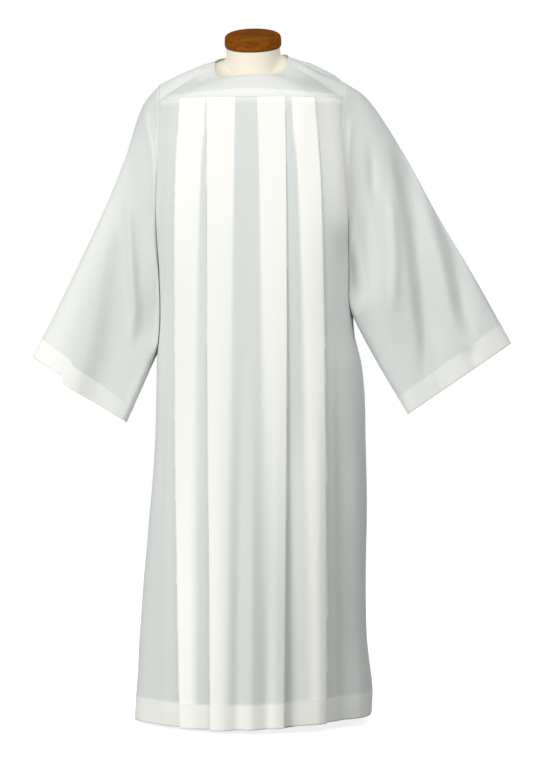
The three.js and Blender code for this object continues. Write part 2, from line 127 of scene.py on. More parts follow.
@dataclass(frozen=True)
class Oval:
    """A squarish oval, wider or deeper on one side than on the other."""

    left: np.ndarray
    right: np.ndarray
    front: np.ndarray
    back: np.ndarray
    power: np.ndarray

    def point(self, angle: np.ndarray) -> tuple[np.ndarray, np.ndarray]:
        """The x and y at an angle; 0 is +X and -90 degrees is the front.

        Args:
            angle: Angles in radians.

        Returns:
            The x and the y at each angle.
        """
        c, s = np.cos(angle), np.sin(angle)
        wide = np.where(c < 0, self.left, self.right)
        deep = np.where(s < 0, self.front, self.back)
        return wide * signed_power(c, 2 / self.power), deep * signed_power(s, 2 / self.power)

    def depth(self, x: np.ndarray, facing: int) -> np.ndarray:
        """The y of the front or back at a distance x from the middle.

        Args:
            x: Distances from the middle.
            facing: -1 for the front, 1 for the back.

        Returns:
            The y at each distance.
        """
        wide = np.where(x < 0, self.left, self.right)
        deep = self.front if facing < 0 else self.back
        share = np.minimum(np.abs(x) / wide, 1.0)
        return facing * deep * (1 - share ** self.power) ** (1 / self.power)

    def reach(self, y: np.ndarray, side: int) -> np.ndarray:
        """The x of one side at a distance y from the middle.

        Args:
            y: Distances from the middle.
            side: -1 for the side at -X, 1 for the other.

        Returns:
            The x at each distance.
        """
        wide = self.left if side < 0 else self.right
        deep = np.where(y < 0, self.front, self.back)
        share = np.minimum(np.abs(y) / deep, 1.0)
        return side * wide * (1 - share ** self.power) ** (1 / self.power)

    def outward(self, x: np.ndarray, y: np.ndarray) -> tuple[np.ndarray, np.ndarray]:
        """The level direction that points straight out of the oval at a point.

        Args:
            x: The points' x.
            y: The points' y.

        Returns:
            The direction's x and y, of length 1.
        """
        wide = np.where(x < 0, self.left, self.right)
        deep = np.where(y < 0, self.front, self.back)
        nx = np.sign(x) * np.minimum(np.abs(x) / wide, 1.2) ** (self.power - 1) / wide
        ny = np.sign(y) * np.minimum(np.abs(y) / deep, 1.2) ** (self.power - 1) / deep
        size = np.maximum(np.hypot(nx, ny), 1e-9)
        return nx / size, ny / size


BODY_SIDES = Table(("z", "left", "right"), (
    (6, 254, 255), (63, 251, 257), (107, 248, 252), (172, 245, 245.5), (237, 240.5, 243.5),
    (302, 236, 243), (367, 230, 243.5), (432, 225, 245), (500, 219, 245), (562, 214.5, 243.5),
    (616, 211.7, 242.3), (700, 209.5, 240.5), (766, 208, 234), (796, 207, 227.5),
    (832, 205.2, 218.8), (896, 202, 214.5), (960, 203.5, 212), (1050, 208, 211),
    (1180, 208, 206), (1334, 203, 200)))
BODY_DEPTHS = Table(("z", "front", "back", "power"), (
    (6, 164, 158, 2.3), (260, 156, 148, 2.3), (500, 149, 139, 2.35), (720, 142, 131, 2.4),
    (870, 137, 126, 2.6), (1000, 134, 123, 3.0), (1100, 131, 121, 3.6), (1180, 129, 119, 3.8),
    (1260, 126, 117, 3.6), (1334, 122, 115, 3.2)))


def body_oval(z: np.ndarray) -> Oval:
    """The skirt's oval, without its pleats, at a level.

    Args:
        z: One level, or many.

    Returns:
        The oval, with a value for each level.
    """
    return Oval(BODY_SIDES.read(z, "left"), BODY_SIDES.read(z, "right"),
                BODY_DEPTHS.read(z, "front"), BODY_DEPTHS.read(z, "back"),
                BODY_DEPTHS.read(z, "power"))


@dataclass(frozen=True)
class Fold:
    """One soft ridge (depth above 0) or trough (below 0) along a line in a flat view."""

    line: tuple[tuple[float, float], ...]
    depth: float
    left: float = 20.0
    right: float = 20.0
    start: float = 0.25
    end: float = 0.25

    def lift(self, u: np.ndarray, v: np.ndarray) -> np.ndarray:
        """How far the cloth stands out at each point of the flat view.

        Args:
            u: The points' first coordinates.
            v: The points' second coordinates.

        Returns:
            The lift at each point, in millimetres.
        """
        line = np.array(self.line, float)
        lengths = np.hypot(*(line[1:] - line[:-1]).T)
        done = np.concatenate([[0.0], np.cumsum(lengths)])
        best = np.full(u.shape, 1e9)
        along = np.zeros(u.shape)
        side = np.ones(u.shape)
        for k, length in enumerate(lengths):
            du, dv = (line[k + 1] - line[k]) / length
            run = (u - line[k, 0]) * du + (v - line[k, 1]) * dv
            off = (u - line[k, 0]) * dv - (v - line[k, 1]) * du
            kept = np.clip(run, 0, length)
            away = np.hypot(off, run - kept)
            closer = away < best
            best = np.where(closer, away, best)
            along = np.where(closer, (done[k] + kept) / done[-1], along)
            side = np.where(closer, off, side)
        width = np.where(side < 0, self.left, self.right)
        fade = np.ones(u.shape)
        if self.start > 0:
            fade = fade * smooth(along / self.start)
        if self.end > 0:
            fade = fade * smooth((1 - along) / self.end)
        return self.depth * fade * np.exp(-((best / width) ** 2))


def relief(folds: tuple[Fold, ...], u: np.ndarray, v: np.ndarray) -> np.ndarray:
    """The sum of several folds' lifts.

    Args:
        folds: The folds to add up.
        u: The points' first measure, across.
        v: The points' second measure, up or forward.

    Returns:
        The lift at each point.
    """
    total = np.zeros(u.shape)
    for fold in folds:
        total = total + fold.lift(u, v)
    return total


@dataclass(frozen=True)
class Ripple:
    """Slight unevenness that all hung cloth has, as a few long waves."""

    height: float
    across: float
    along: float
    phase: float

    def lift(self, u: np.ndarray, v: np.ndarray) -> np.ndarray:
        """The waves' height at each point.

        Args:
            u: The points' first measure, across.
            v: The points' second measure, up.

        Returns:
            The height at each point.
        """
        a = np.sin(u / self.across + v / self.along + self.phase)
        b = np.sin(u / (self.across * 0.53) - v / (self.along * 0.71) + 2.3 * self.phase)
        c = np.sin(u / (self.across * 1.9) + v / (self.along * 0.37) + 0.7 * self.phase)
        return self.height * (a + 0.6 * b + 0.8 * c) / 1.6


def resample(points: np.ndarray, count: int) -> np.ndarray:
    """Spread a number of points evenly along a line.

    Args:
        points: The line, one row a point.
        count: How many points to place.

    Returns:
        The new points, with the line's own ends.
    """
    run = np.concatenate([[0.0], np.cumsum(np.linalg.norm(np.diff(points, axis=0), axis=1))])
    at = np.linspace(0.0, run[-1], count)
    return np.stack([np.interp(at, run, points[:, k]) for k in range(points.shape[1])], axis=1)


# ------------------------------------------------------------------ finishes


class Nodes:
    """Builds one material's nodes with few words."""

    def __init__(self, name: str) -> None:
        """Start an empty material.

        Args:
            name: The material's name.
        """
        self.material = bpy.data.materials.new(name)
        self.material.use_nodes = True
        self.tree = self.material.node_tree
        self.tree.nodes.clear()
        self.output = self.tree.nodes.new("ShaderNodeOutputMaterial")
        self.shader = self.tree.nodes.new("ShaderNodeBsdfPrincipled")
        self.join(self.shader, "BSDF", self.output, "Surface")

    def add(self, kind: str, **values: object) -> bpy.types.Node:
        """Add a node and set its properties or its inputs by name.

        Args:
            kind: The node's type name.
            **values: Properties in small letters; inputs with spaces as underscores.

        Returns:
            The new node.
        """
        node = self.tree.nodes.new(kind)
        for key, value in values.items():
            if hasattr(node, key):
                setattr(node, key, value)
            else:
                node.inputs[key.replace("_", " ")].default_value = value
        return node

    def join(self, a: bpy.types.Node, out: str | int, b: bpy.types.Node, into: str | int) -> None:
        """Link an output to an input."""
        self.tree.links.new(a.outputs[out], b.inputs[into])

    def maths(self, operation: str, first: object, second: object = None,
              clamp: bool = False) -> bpy.types.Node:
        """Add a maths node.

        Args:
            operation: What it works out.
            first: A number, a node, or a node and its output.
            second: The same, or None to leave it as it is.
            clamp: Whether the result is kept from 0 to 1.

        Returns:
            The new node.
        """
        node = self.tree.nodes.new("ShaderNodeMath")
        node.operation = operation
        node.use_clamp = clamp
        for k, value in enumerate((first, second)):
            if isinstance(value, bpy.types.Node):
                self.join(value, 0, node, k)
            elif isinstance(value, tuple):
                self.join(value[0], value[1], node, k)
            elif value is not None:
                node.inputs[k].default_value = value
        return node

    def blend(self, share: tuple | bpy.types.Node, a: object, b: object,
              kind: str = "MIX", amount: float = 1.0) -> bpy.types.Node:
        """Mix two colours.

        Args:
            share: A node, or a node and its output; None for a fixed amount.
            a: A colour or a node.
            b: A colour or a node.
            kind: How they are mixed.
            amount: The fixed amount, where share is None.

        Returns:
            The new node.
        """
        node = self.tree.nodes.new("ShaderNodeMix")
        node.data_type = "RGBA"
        node.blend_type = kind
        if share is None:
            node.inputs[0].default_value = amount
        elif isinstance(share, tuple):
            self.join(share[0], share[1], node, 0)
        else:
            self.join(share, 0, node, 0)
        for socket, value in ((6, a), (7, b)):
            if isinstance(value, bpy.types.Node):
                self.join(value, 2 if value.bl_idname == "ShaderNodeMix" else 0, node, socket)
            else:
                node.inputs[socket].default_value = (*value, 1.0)
        return node

    def set(self, **values: object) -> None:
        """Set the shader's own inputs by name."""
        for key, value in values.items():
            self.shader.inputs[key.replace("_", " ")].default_value = value


@dataclass(frozen=True)
class AlbCloth:
    """Light plain-woven cloth, from a thin grey-green look to a thick, whiter and warmer one."""

    name: str = "alb_cloth"
    thin: tuple[float, float, float] = (0.625, 0.655, 0.643)
    thick: tuple[float, float, float] = (0.905, 0.893, 0.855)
    thread: float = 0.0009
    slub: float = 0.035
    roughness: float = 0.82
    sheen: float = 0.12

    def material(self) -> bpy.types.Material:
        """Make the cloth's material.

        Returns:
            A material that reads the mesh's "layers" attribute and its cut measures.
        """
        n = Nodes(self.name)
        # The layers value is the doubled cloth's whiteness; on the panels, sleeves and shoulders it also holds
        # painted light and shade.
        layers = n.add("ShaderNodeAttribute", attribute_name="layers")
        base = n.blend((layers, "Fac"), self.thin, self.thick)
        cut = n.add("ShaderNodeUVMap", uv_map="cut")
        stretch = n.add("ShaderNodeMapping", Scale=(900.0, 60.0, 1.0))
        n.join(cut, "UV", stretch, "Vector")
        warp = n.add("ShaderNodeTexNoise", Scale=1.0, Detail=2.0, Roughness=0.6)
        n.join(stretch, "Vector", warp, "Vector")
        turned = n.add("ShaderNodeMapping", Scale=(60.0, 900.0, 1.0))
        n.join(cut, "UV", turned, "Vector")
        weft = n.add("ShaderNodeTexNoise", Scale=1.0, Detail=2.0, Roughness=0.6)
        n.join(turned, "Vector", weft, "Vector")
        slubs = n.maths("ADD", (warp, "Fac"), (weft, "Fac"))
        tone = n.maths("MULTIPLY_ADD", slubs, self.slub)
        tone.inputs[2].default_value = 1.0 - self.slub
        shaded = n.blend(None, base, (1.0, 1.0, 1.0), "MULTIPLY")
        grey = n.add("ShaderNodeCombineColor")
        for k in range(3):
            n.join(tone, 0, grey, k)
        n.join(grey, 0, shaded, 7)
        n.join(shaded, 2, n.shader, "Base Color")
        threads = [n.add("ShaderNodeTexWave", wave_type="BANDS", bands_direction=axis,
                         Scale=1.0 / self.thread / 20.0) for axis in ("X", "Y")]
        for wave in threads:
            n.join(cut, "UV", wave, "Vector")
        weave = n.maths("MULTIPLY", (threads[0], "Fac"), (threads[1], "Fac"))
        uneven = n.maths("MULTIPLY_ADD", slubs, 0.35)
        n.join(weave, 0, uneven, 2)
        bump = n.add("ShaderNodeBump", Strength=0.10, Distance=0.0004)
        n.join(uneven, 0, bump, "Height")
        n.join(bump, "Normal", n.shader, "Normal")
        n.set(Roughness=self.roughness, Sheen_Weight=self.sheen, Sheen_Roughness=0.45,
              Specular_IOR_Level=0.18)
        return n.material


@dataclass(frozen=True)
class JerseyCover:
    """The dress form's cream knitted cover."""

    name: str = "form_cover"
    colour: tuple[float, float, float] = (0.80, 0.745, 0.63)
    roughness: float = 0.88

    def material(self) -> bpy.types.Material:
        """Make the cover's fine knitted material.

        Returns:
            The new material.
        """
        n = Nodes(self.name)
        place = n.add("ShaderNodeTexCoord")
        ribs = n.add("ShaderNodeTexNoise", Scale=420.0, Detail=3.0, Roughness=0.55)
        n.join(place, "Object", ribs, "Vector")
        wide = n.add("ShaderNodeTexNoise", Scale=9.0, Detail=2.0)
        n.join(place, "Object", wide, "Vector")
        lighter = tuple(min(c * 1.07, 1.0) for c in self.colour)
        darker = tuple(c * 0.93 for c in self.colour)
        base = n.blend((wide, "Fac"), darker, lighter)
        n.join(base, 2, n.shader, "Base Color")
        bump = n.add("ShaderNodeBump", Strength=0.25, Distance=0.0005)
        n.join(ribs, "Fac", bump, "Height")
        n.join(bump, "Normal", n.shader, "Normal")
        n.set(Roughness=self.roughness, Sheen_Weight=0.2, Specular_IOR_Level=0.2)
        return n.material


@dataclass(frozen=True)
class VarnishedWood:
    """The turned cap's red-brown wood under clear varnish."""

    name: str = "cap_wood"
    light: tuple[float, float, float] = (0.28, 0.085, 0.008)
    dark: tuple[float, float, float] = (0.12, 0.034, 0.004)
    roughness: float = 0.3

    def material(self) -> bpy.types.Material:
        """Make the wood's material, with grain along X.

        Returns:
            The new material.
        """
        n = Nodes(self.name)
        place = n.add("ShaderNodeTexCoord")
        along = n.add("ShaderNodeMapping", Scale=(6.0, 60.0, 45.0))
        n.join(place, "Object", along, "Vector")
        grain = n.add("ShaderNodeTexNoise", Scale=3.0, Detail=6.0, Roughness=0.62, Distortion=0.6)
        n.join(along, "Vector", grain, "Vector")
        ramp = n.add("ShaderNodeValToRGB")
        ramp.color_ramp.elements[0].position = 0.32
        ramp.color_ramp.elements[0].color = (*self.dark, 1.0)
        ramp.color_ramp.elements[1].position = 0.68
        ramp.color_ramp.elements[1].color = (*self.light, 1.0)
        n.join(grain, "Fac", ramp, "Fac")
        n.join(ramp, "Color", n.shader, "Base Color")
        bump = n.add("ShaderNodeBump", Strength=0.08, Distance=0.0004)
        n.join(grain, "Fac", bump, "Height")
        n.join(bump, "Normal", n.shader, "Normal")
        n.set(Roughness=self.roughness, Specular_IOR_Level=0.0, Coat_Weight=0.02, Coat_Roughness=0.1)
        return n.material


@dataclass(frozen=True)
class Metal:
    """A brushed or painted metal finish."""

    name: str
    colour: tuple[float, float, float]
    metallic: float
    roughness: float
    streaks: tuple[float, float, float]

    def material(self) -> bpy.types.Material:
        """Make the metal, a little uneven in its gloss.

        Returns:
            The new material.
        """
        n = Nodes(self.name)
        place = n.add("ShaderNodeTexCoord")
        spread = n.add("ShaderNodeMapping", Scale=self.streaks)
        n.join(place, "Object", spread, "Vector")
        marks = n.add("ShaderNodeTexNoise", Scale=1.0, Detail=4.0, Roughness=0.6)
        n.join(spread, "Vector", marks, "Vector")
        gloss = n.add("ShaderNodeMapRange", To_Min=self.roughness * 0.75,
                      To_Max=self.roughness * 1.25)
        n.join(marks, "Fac", gloss, "Value")
        n.join(gloss, "Result", n.shader, "Roughness")
        shade = n.blend((marks, "Fac"), tuple(c * 0.9 for c in self.colour), self.colour)
        n.join(shade, 2, n.shader, "Base Color")
        n.set(Metallic=self.metallic)
        return n.material


STEEL = Metal("pole_steel", (0.62, 0.63, 0.64), 1.0, 0.28, (260.0, 260.0, 8.0))
IRON = Metal("base_iron", (0.045, 0.046, 0.05), 0.35, 0.5, (420.0, 420.0, 420.0))


# ------------------------------------------------------------------ meshes


@dataclass
class Sheet:
    """One piece of cloth as a grid of points in the middle of its wall.

    Points are (rows, columns, 3) in millimetres, the cut is (rows, columns, 2) in metres
    and has one column more where the sheet closes on itself, and layers is from 0 to 1.
    """

    name: str
    points: np.ndarray
    layers: np.ndarray
    closed: bool = False
    wall: float = WALL
    measure: np.ndarray = field(init=False)

    def __post_init__(self) -> None:
        """Work out the cut measures along the columns and the rows."""
        grid = self.points
        if self.closed:
            grid = np.concatenate([grid, grid[:, :1]], axis=1)
        across = np.linalg.norm(np.diff(grid, axis=1), axis=2)
        u = np.concatenate([np.zeros((grid.shape[0], 1)), np.cumsum(across, axis=1)], axis=1)
        u = u - u[:, -1:] / 2
        up = np.linalg.norm(np.diff(grid, axis=0), axis=2)
        v = np.concatenate([np.zeros((1, grid.shape[1])), np.cumsum(up, axis=0)], axis=0)
        self.measure = np.stack([u, v], axis=2) * METRE

    def flat_size(self) -> tuple[float, float, float]:
        """Measure the sheet as if laid flat.

        Returns:
            The widest width and the longest length in metres, and the area in square metres.
        """
        width = float((self.measure[:, -1, 0] - self.measure[:, 0, 0]).max())
        length = float(self.measure[-1, :, 1].max())
        g = self.points * METRE
        if self.closed:
            g = np.concatenate([g, g[:, :1]], axis=1)
        a, b, c, d = g[:-1, :-1], g[:-1, 1:], g[1:, 1:], g[1:, :-1]
        area = 0.5 * (np.linalg.norm(np.cross(b - a, c - a), axis=2)
                      + np.linalg.norm(np.cross(c - a, d - a), axis=2)).sum()
        return width, length, float(area)

    def build(self, material: bpy.types.Material) -> bpy.types.Object:
        """Make the object, give it a wall and dress it.

        Args:
            material: The cloth's material.

        Returns:
            The new object.
        """
        rows, columns = self.points.shape[:2]
        spans = columns if self.closed else columns - 1
        r, c = np.meshgrid(np.arange(rows - 1), np.arange(spans), indexing="ij")
        nxt = (c + 1) % columns
        quads = np.stack([r * columns + c, r * columns + nxt,
                          (r + 1) * columns + nxt, (r + 1) * columns + c], axis=2).reshape(-1, 4)
        mesh = bpy.data.meshes.new(self.name)
        mesh.from_pydata((self.points.reshape(-1, 3) * METRE).tolist(), [], quads.tolist())
        corners = np.stack([self.measure[r, c], self.measure[r, c + 1],
                            self.measure[r + 1, c + 1], self.measure[r + 1, c]], axis=2)
        layer = mesh.uv_layers.new(name="cut")
        layer.data.foreach_set("uv", corners.reshape(-1).astype(np.float32))
        note = mesh.attributes.new("layers", "FLOAT", "POINT")
        note.data.foreach_set("value", np.clip(self.layers, 0, 1).reshape(-1).astype(np.float32))
        mesh.polygons.foreach_set("use_smooth", np.ones(len(quads), bool))
        mesh.update()
        body = bpy.data.objects.new(self.name, mesh)
        bpy.context.collection.objects.link(body)
        wall = body.modifiers.new("wall", "SOLIDIFY")
        wall.thickness = self.wall * METRE
        wall.offset = 0.0
        body.data.materials.append(material)
        return body


def place(body: bpy.types.Object, slot: str, *nodes: str) -> bpy.types.Object:
    """Ride a piece on the part's only body and hide the nodes it stands for.

    Args:
        body: The piece.
        slot: Its material slot's name; not used.
        *nodes: The nodes it stands for.

    Returns:
        The same piece.
    """
    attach(body, ROOT)
    if nodes:
        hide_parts(*nodes)
    return body


def solid_mesh(name: str, points: np.ndarray, faces: list, material: bpy.types.Material,
               flat_angle: float = 40.0) -> bpy.types.Object:
    """Make a closed piece from points in millimetres and its faces.

    Args:
        name: The piece's name.
        points: One row a point.
        faces: Lists of point numbers.
        material: What it is made of.
        flat_angle: Edges sharper than this many degrees stay crisp.

    Returns:
        The new object.
    """
    mesh = bpy.data.meshes.new(name)
    mesh.from_pydata((points * METRE).tolist(), [], faces)
    mesh.update()
    body = bpy.data.objects.new(name, mesh)
    bpy.context.collection.objects.link(body)
    mesh.polygons.foreach_set("use_smooth", np.ones(len(faces), bool))
    mesh.set_sharp_from_angle(angle=math.radians(flat_angle))
    mesh.materials.append(material)
    return body


def ring_faces(rings: int, around: int) -> list[list[int]]:
    """Faces of a body through closed rings, with a fan hub at each end.

    Args:
        rings: How many rings there are.
        around: How many points are in each ring.

    Returns:
        Lists of point numbers; the two hubs come after the rings' points.
    """
    faces = []
    for r in range(rings - 1):
        for c in range(around):
            d = (c + 1) % around
            faces.append([r * around + c, r * around + d, (r + 1) * around + d, (r + 1) * around + c])
    low, high = rings * around, rings * around + 1
    for c in range(around):
        d = (c + 1) % around
        faces.append([d, c, low])
        faces.append([(rings - 1) * around + c, (rings - 1) * around + d, high])
    return faces


@dataclass
class Turned:
    """A turned piece: a profile of (radius, height) swept round an upright axis."""

    name: str
    profile: tuple[tuple[float, float], ...]
    around: int = 128

    def build(self, material: bpy.types.Material) -> bpy.types.Object:
        """Make the turned piece, closed at both ends.

        Args:
            material: What it is made of.

        Returns:
            The new object.
        """
        angle = np.arange(self.around) / self.around * 2 * np.pi
        rings = [np.stack([r * np.cos(angle), r * np.sin(angle), np.full_like(angle, z)], axis=1)
                 for r, z in self.profile]
        ends = np.array([[0, 0, self.profile[0][1]], [0, 0, self.profile[-1][1]]], float)
        points = np.concatenate([*rings, ends])
        return solid_mesh(self.name, points, ring_faces(len(rings), self.around), material)


@dataclass
class Stitching:
    """Small straight stitches along lines on the cloth, as one piece of thread."""

    name: str
    length: float = 2.3
    pitch: float = 3.4
    width: float = 0.75
    height: float = 0.45
    points: list = field(default_factory=list)
    faces: list = field(default_factory=list)

    def sew(self, line: np.ndarray, normals: np.ndarray) -> None:
        """Add stitches along a line.

        Args:
            line: Points in millimetres, on the cloth's outer skin.
            normals: The outward direction at each of them.
        """
        run = np.concatenate([[0.0], np.cumsum(np.linalg.norm(np.diff(line, axis=0), axis=1))])
        starts = np.arange(self.pitch, run[-1] - self.length, self.pitch)
        for at in starts:
            a, b = (np.array([np.interp(at + d, run, line[:, k]) for k in range(3)])
                    for d in (0.0, self.length))
            up = np.array([np.interp(at, run, normals[:, k]) for k in range(3)])
            way = (b - a) / max(np.linalg.norm(b - a), 1e-9)
            up = up - way * up.dot(way)
            up = up / max(np.linalg.norm(up), 1e-9)
            across = np.cross(way, up)
            base = len(self.points)
            for centre, grow in ((a, 0.55), (a + way * 0.45, 1.0), (b - way * 0.45, 1.0), (b, 0.55)):
                for s, h in ((-1, -0.6), (1, -0.6), (0.62, 1.0), (-0.62, 1.0)):
                    self.points.append(centre + across * s * self.width / 2 * grow
                                       + up * h * self.height / 2 * grow)
            for k in range(3):
                for c in range(4):
                    d = (c + 1) % 4
                    self.faces.append([base + 4 * k + c, base + 4 * k + d,
                                       base + 4 * k + 4 + d, base + 4 * k + 4 + c])
            self.faces.append([base + 3, base + 2, base + 1, base])
            self.faces.append([base + 12, base + 13, base + 14, base + 15])

    def build(self, material: bpy.types.Material) -> bpy.types.Object:
        """Make the one piece of thread from all its stitches."""
        return solid_mesh(self.name, np.array(self.points), self.faces, material)


# ------------------------------------------------------------------ pleated panels

ARM_CENTRE_Z = 1207.5
ARM_HALF_HEIGHT = 167.5
ARM_HALF_DEPTH = 75.0
CUT_HALF_HEIGHT = ARM_HALF_HEIGHT + 0.1
CUT_HALF_DEPTH = ARM_HALF_DEPTH + 0.1

SPREAD = Table(("z", "gap", "share"), (
    (6, 8.5, 0.62), (400, 5.2, 0.75), (800, 2.8, 0.88), (1150, 1.4, 0.96), (1334, 0.8, 1.0)))


@dataclass(frozen=True)
class Pleat:
    """One knife pleat: its fold edge's x from hem to seam, its underlay and its whiteness.

    The whiteness at four levels from hem to seam is given one by one. It doesn't follow from the
    underlay, so pleats of one width may differ; where it drops, it is painted shade.
    """

    faces: int
    edges: tuple[float, float, float, float, float]
    underlay: float
    white: tuple[float, float, float, float] = (0.8, 0.8, 0.84, 0.84)

    def edge(self, z: np.ndarray) -> np.ndarray:
        """The fold edge's x at a level."""
        levels = (HEM_Z, 300.0, 690.0, 1130.0, SEAM_Z)
        return Table(("z", "x"), tuple(zip(levels, self.edges))).read(z, "x")

    def cover(self, x: np.ndarray, z: np.ndarray) -> np.ndarray:
        """How strongly the pleat's hidden layers lie behind a point, from 0 to 1.

        Args:
            x: The points' x.
            z: The points' levels.

        Returns:
            The strength, with the whiteness and its painted shade already in it.
        """
        edge = self.edge(z)
        reach = self.underlay * SPREAD.read(z, "share")
        soft = mix(2.0, 26.0, smooth((SEAM_Z - z) / 900.0))
        away = (x - edge) * -self.faces
        inner = smooth((reach - away) / soft + 0.5)
        levels = (60.0, 258.0, 800.0, 1230.0)
        # The white values scale the strength; where they drop, they paint shade on the pleat.
        inner = inner * Table(("z", "white"), tuple(zip(levels, self.white))).read(z, "white")
        return np.where(away < -0.5, 0.0, inner)


def edge_depth(z: np.ndarray) -> np.ndarray:
    """How far forward or back a panel's edge stands at a level."""
    rise = (z - ARM_CENTRE_Z) / CUT_HALF_HEIGHT
    return np.maximum(CUT_HALF_DEPTH * np.sqrt(np.maximum(0.0, 1 - rise * rise)), SEAM_GAP)


def hem_lift(x: np.ndarray, z: np.ndarray) -> np.ndarray:
    """How much higher the hem hangs towards +X; it dies out a little above the hem."""
    up = smooth((z - HEM_Z - HEM_DEPTH) / (4 * HEM_DEPTH))
    return 12.0 * smooth((x + 100.0) / 300.0) * (1 - up)


@dataclass
class Panel:
    """A full-length front or back: four knife pleats between plain sides.

    The pale folds and the white values change only the colour and move nothing. Seam allowances, the
    hem and the pleats' layers are doubled cloth; the other pale folds and the hem's lift ahead are painted light.
    """

    name: str
    facing: Facing
    pleats: tuple[Pleat, ...]
    folds: tuple[Fold, ...]
    ripple: Ripple
    pale: tuple[Fold, ...] = ()
    seam_white: float = 0.35
    hem_white: float = 0.55
    hem_painted_light_ahead: float = 0.2
    side_points: int = 44
    turn_points: int = 7
    under_points: int = 9
    centre_points: int = 62
    face_points: int = 30

    def levels(self) -> np.ndarray:
        """The rows' levels, close together at the hem band and round the armhole.

        Returns:
            The levels, from the hem up.
        """
        hem = np.array([0, 3, 8, 18, 30, 40, 47, 50.5, 52, 53.5, 57, 64]) + HEM_Z
        skirt = np.linspace(82, 1026, 78)
        top = math.acos(-(SEAM_Z - 0.4 - ARM_CENTRE_Z) / CUT_HALF_HEIGHT)
        hole = ARM_CENTRE_Z - CUT_HALF_HEIGHT * np.cos(np.linspace(0.0, top, 38))
        return np.concatenate([hem, skirt, [1034.0], hole])

    def turn(self, x: float, heading: int, start: int, stop: int, gap: float) -> np.ndarray:
        """The round turn of the cloth at a fold, as x and layer.

        Args:
            x: Where the fold's edge is.
            heading: 1 where the turn bulges to +X, -1 where it bulges to -X.
            start: The layer it comes from.
            stop: The layer it goes to.
            gap: The distance between layers.

        Returns:
            One row a point: its x and its layer, which is 0 at the panel's plain cloth.
        """
        radius = min(gap / 2, 4.0)
        swing = np.linspace(-np.pi / 2, np.pi / 2, self.turn_points)
        level = (start + stop) / 2 + (stop - start) / 2 * np.sin(swing)
        return np.stack([x - heading * radius + heading * radius * np.cos(swing), level], axis=1)

    def row(self, z: float) -> np.ndarray:
        """The folded line of the cloth at one level.

        Args:
            z: The level.

        Returns:
            One row a point: its x and its y.
        """
        oval = body_oval(z)
        facing = self.facing.value
        gap = float(SPREAD.read(z, "gap"))
        share = float(SPREAD.read(z, "share"))
        turns = []
        level = 0
        for pleat in (p for p in self.pleats if p.faces < 0):
            edge = float(pleat.edge(z))
            turns.append(self.turn(edge + pleat.underlay * share, 1, level, level + 1, gap))
            turns.append(self.turn(edge, -1, level + 1, level + 2, gap))
            level += 2
        for pleat in (p for p in self.pleats if p.faces > 0):
            edge = float(pleat.edge(z))
            turns.append(self.turn(edge, 1, level, level - 1, gap))
            turns.append(self.turn(edge - pleat.underlay * share, -1, level - 1, level - 2, gap))
            level -= 2
        counts = [self.under_points, self.face_points, self.under_points, self.centre_points,
                  self.under_points, self.face_points, self.under_points]
        pieces = [turns[0]]
        for before, after, count in zip(turns[:-1], turns[1:], counts):
            pieces.append(np.linspace(before[-1], after[0], count + 2)[1:-1])
            pieces.append(after)
        path = np.concatenate(pieces)
        middle = np.stack([path[:, 0], oval.depth(path[:, 0], facing)
                           + facing * path[:, 1] * gap], axis=1)
        left = self.side(oval, z, -1, path[0, 0])
        right = self.side(oval, z, 1, path[-1, 0])[::-1]
        return np.concatenate([left, middle, right])

    def side(self, oval: Oval, z: float, side: int, end_x: float) -> np.ndarray:
        """The plain cloth from the side seam or armhole to the first turn.

        Args:
            oval: The body's oval at this level.
            z: The level.
            side: -1 for the side at -X, 1 for the other.
            end_x: The x of the first turn.

        Returns:
            One row a point, from the edge inwards: its x and its y.
        """
        wide = float(oval.left if side < 0 else oval.right)
        deep = float(oval.front if self.facing.value < 0 else oval.back)
        power = float(oval.power)
        first = math.asin(float(edge_depth(z) / deep) ** (power / 2))
        last = math.acos(min(abs(end_x) / wide, 1.0) ** (power / 2))
        angle = np.linspace(first ** 0.5, last ** 0.5, 400) ** 2
        line = np.stack([side * wide * np.cos(angle) ** (2 / power),
                         self.facing.value * deep * np.sin(angle) ** (2 / power)], axis=1)
        even = resample(line, self.side_points + 1)[:-1]
        if self.facing is Facing.FRONT:
            lap = 0.4 + 3.6 * float(smooth((ARM_CENTRE_Z - CUT_HALF_HEIGHT - z) / 30.0))
            even = np.concatenate([[[even[0, 0] + side * 0.8, even[0, 1] + lap]], even])
        return even

    def drape(self, x: np.ndarray, y: np.ndarray, z: np.ndarray) -> np.ndarray:
        """How far folds and waves lift the cloth, dying out at the yoke and side seams."""
        calm = smooth((SEAM_Z - z) / 220.0) * smooth(np.abs(y) / 48.0)
        return (relief(self.folds, x, z) + self.ripple.lift(x, z)) * calm

    def sheet(self, levels: np.ndarray, name: str, shift: float = 0.0,
              band: bool = True) -> Sheet:
        """Lay out the panel, or a layer inside it.

        Args:
            levels: The rows' levels.
            name: The sheet's name.
            shift: How far outside the panel the layer lies.
            band: Whether the hem's edge stands out as a soft step.

        Returns:
            The sheet.
        """
        rows = np.stack([self.row(float(z)) for z in levels])
        x, y = rows[..., 0], rows[..., 1]
        z = np.repeat(levels[:, None], x.shape[1], axis=1)
        oval = body_oval(z)
        nx, ny = oval.outward(x, y)
        nx = nx * smooth((np.abs(x) - 166.0) / 26.0)
        out = self.drape(x, y, z) + shift
        top = HEM_Z + HEM_DEPTH
        if band:
            out = out + 0.55 * smooth((top + 1.0 - z) / 2.0) + 0.25 * np.exp(-((z - top) / 2.2) ** 2)
        points = np.stack([x + nx * out, y + ny * out, z + hem_lift(x, z)], axis=2)
        thick = np.zeros(x.shape)
        for pleat in self.pleats:
            thick = np.maximum(thick, pleat.cover(x, z))
        low = smooth((top + 0.5 - z) / 1.5)
        seam = self.seam_white * smooth((z - SEAM_Z + 14.0) / 6.0)
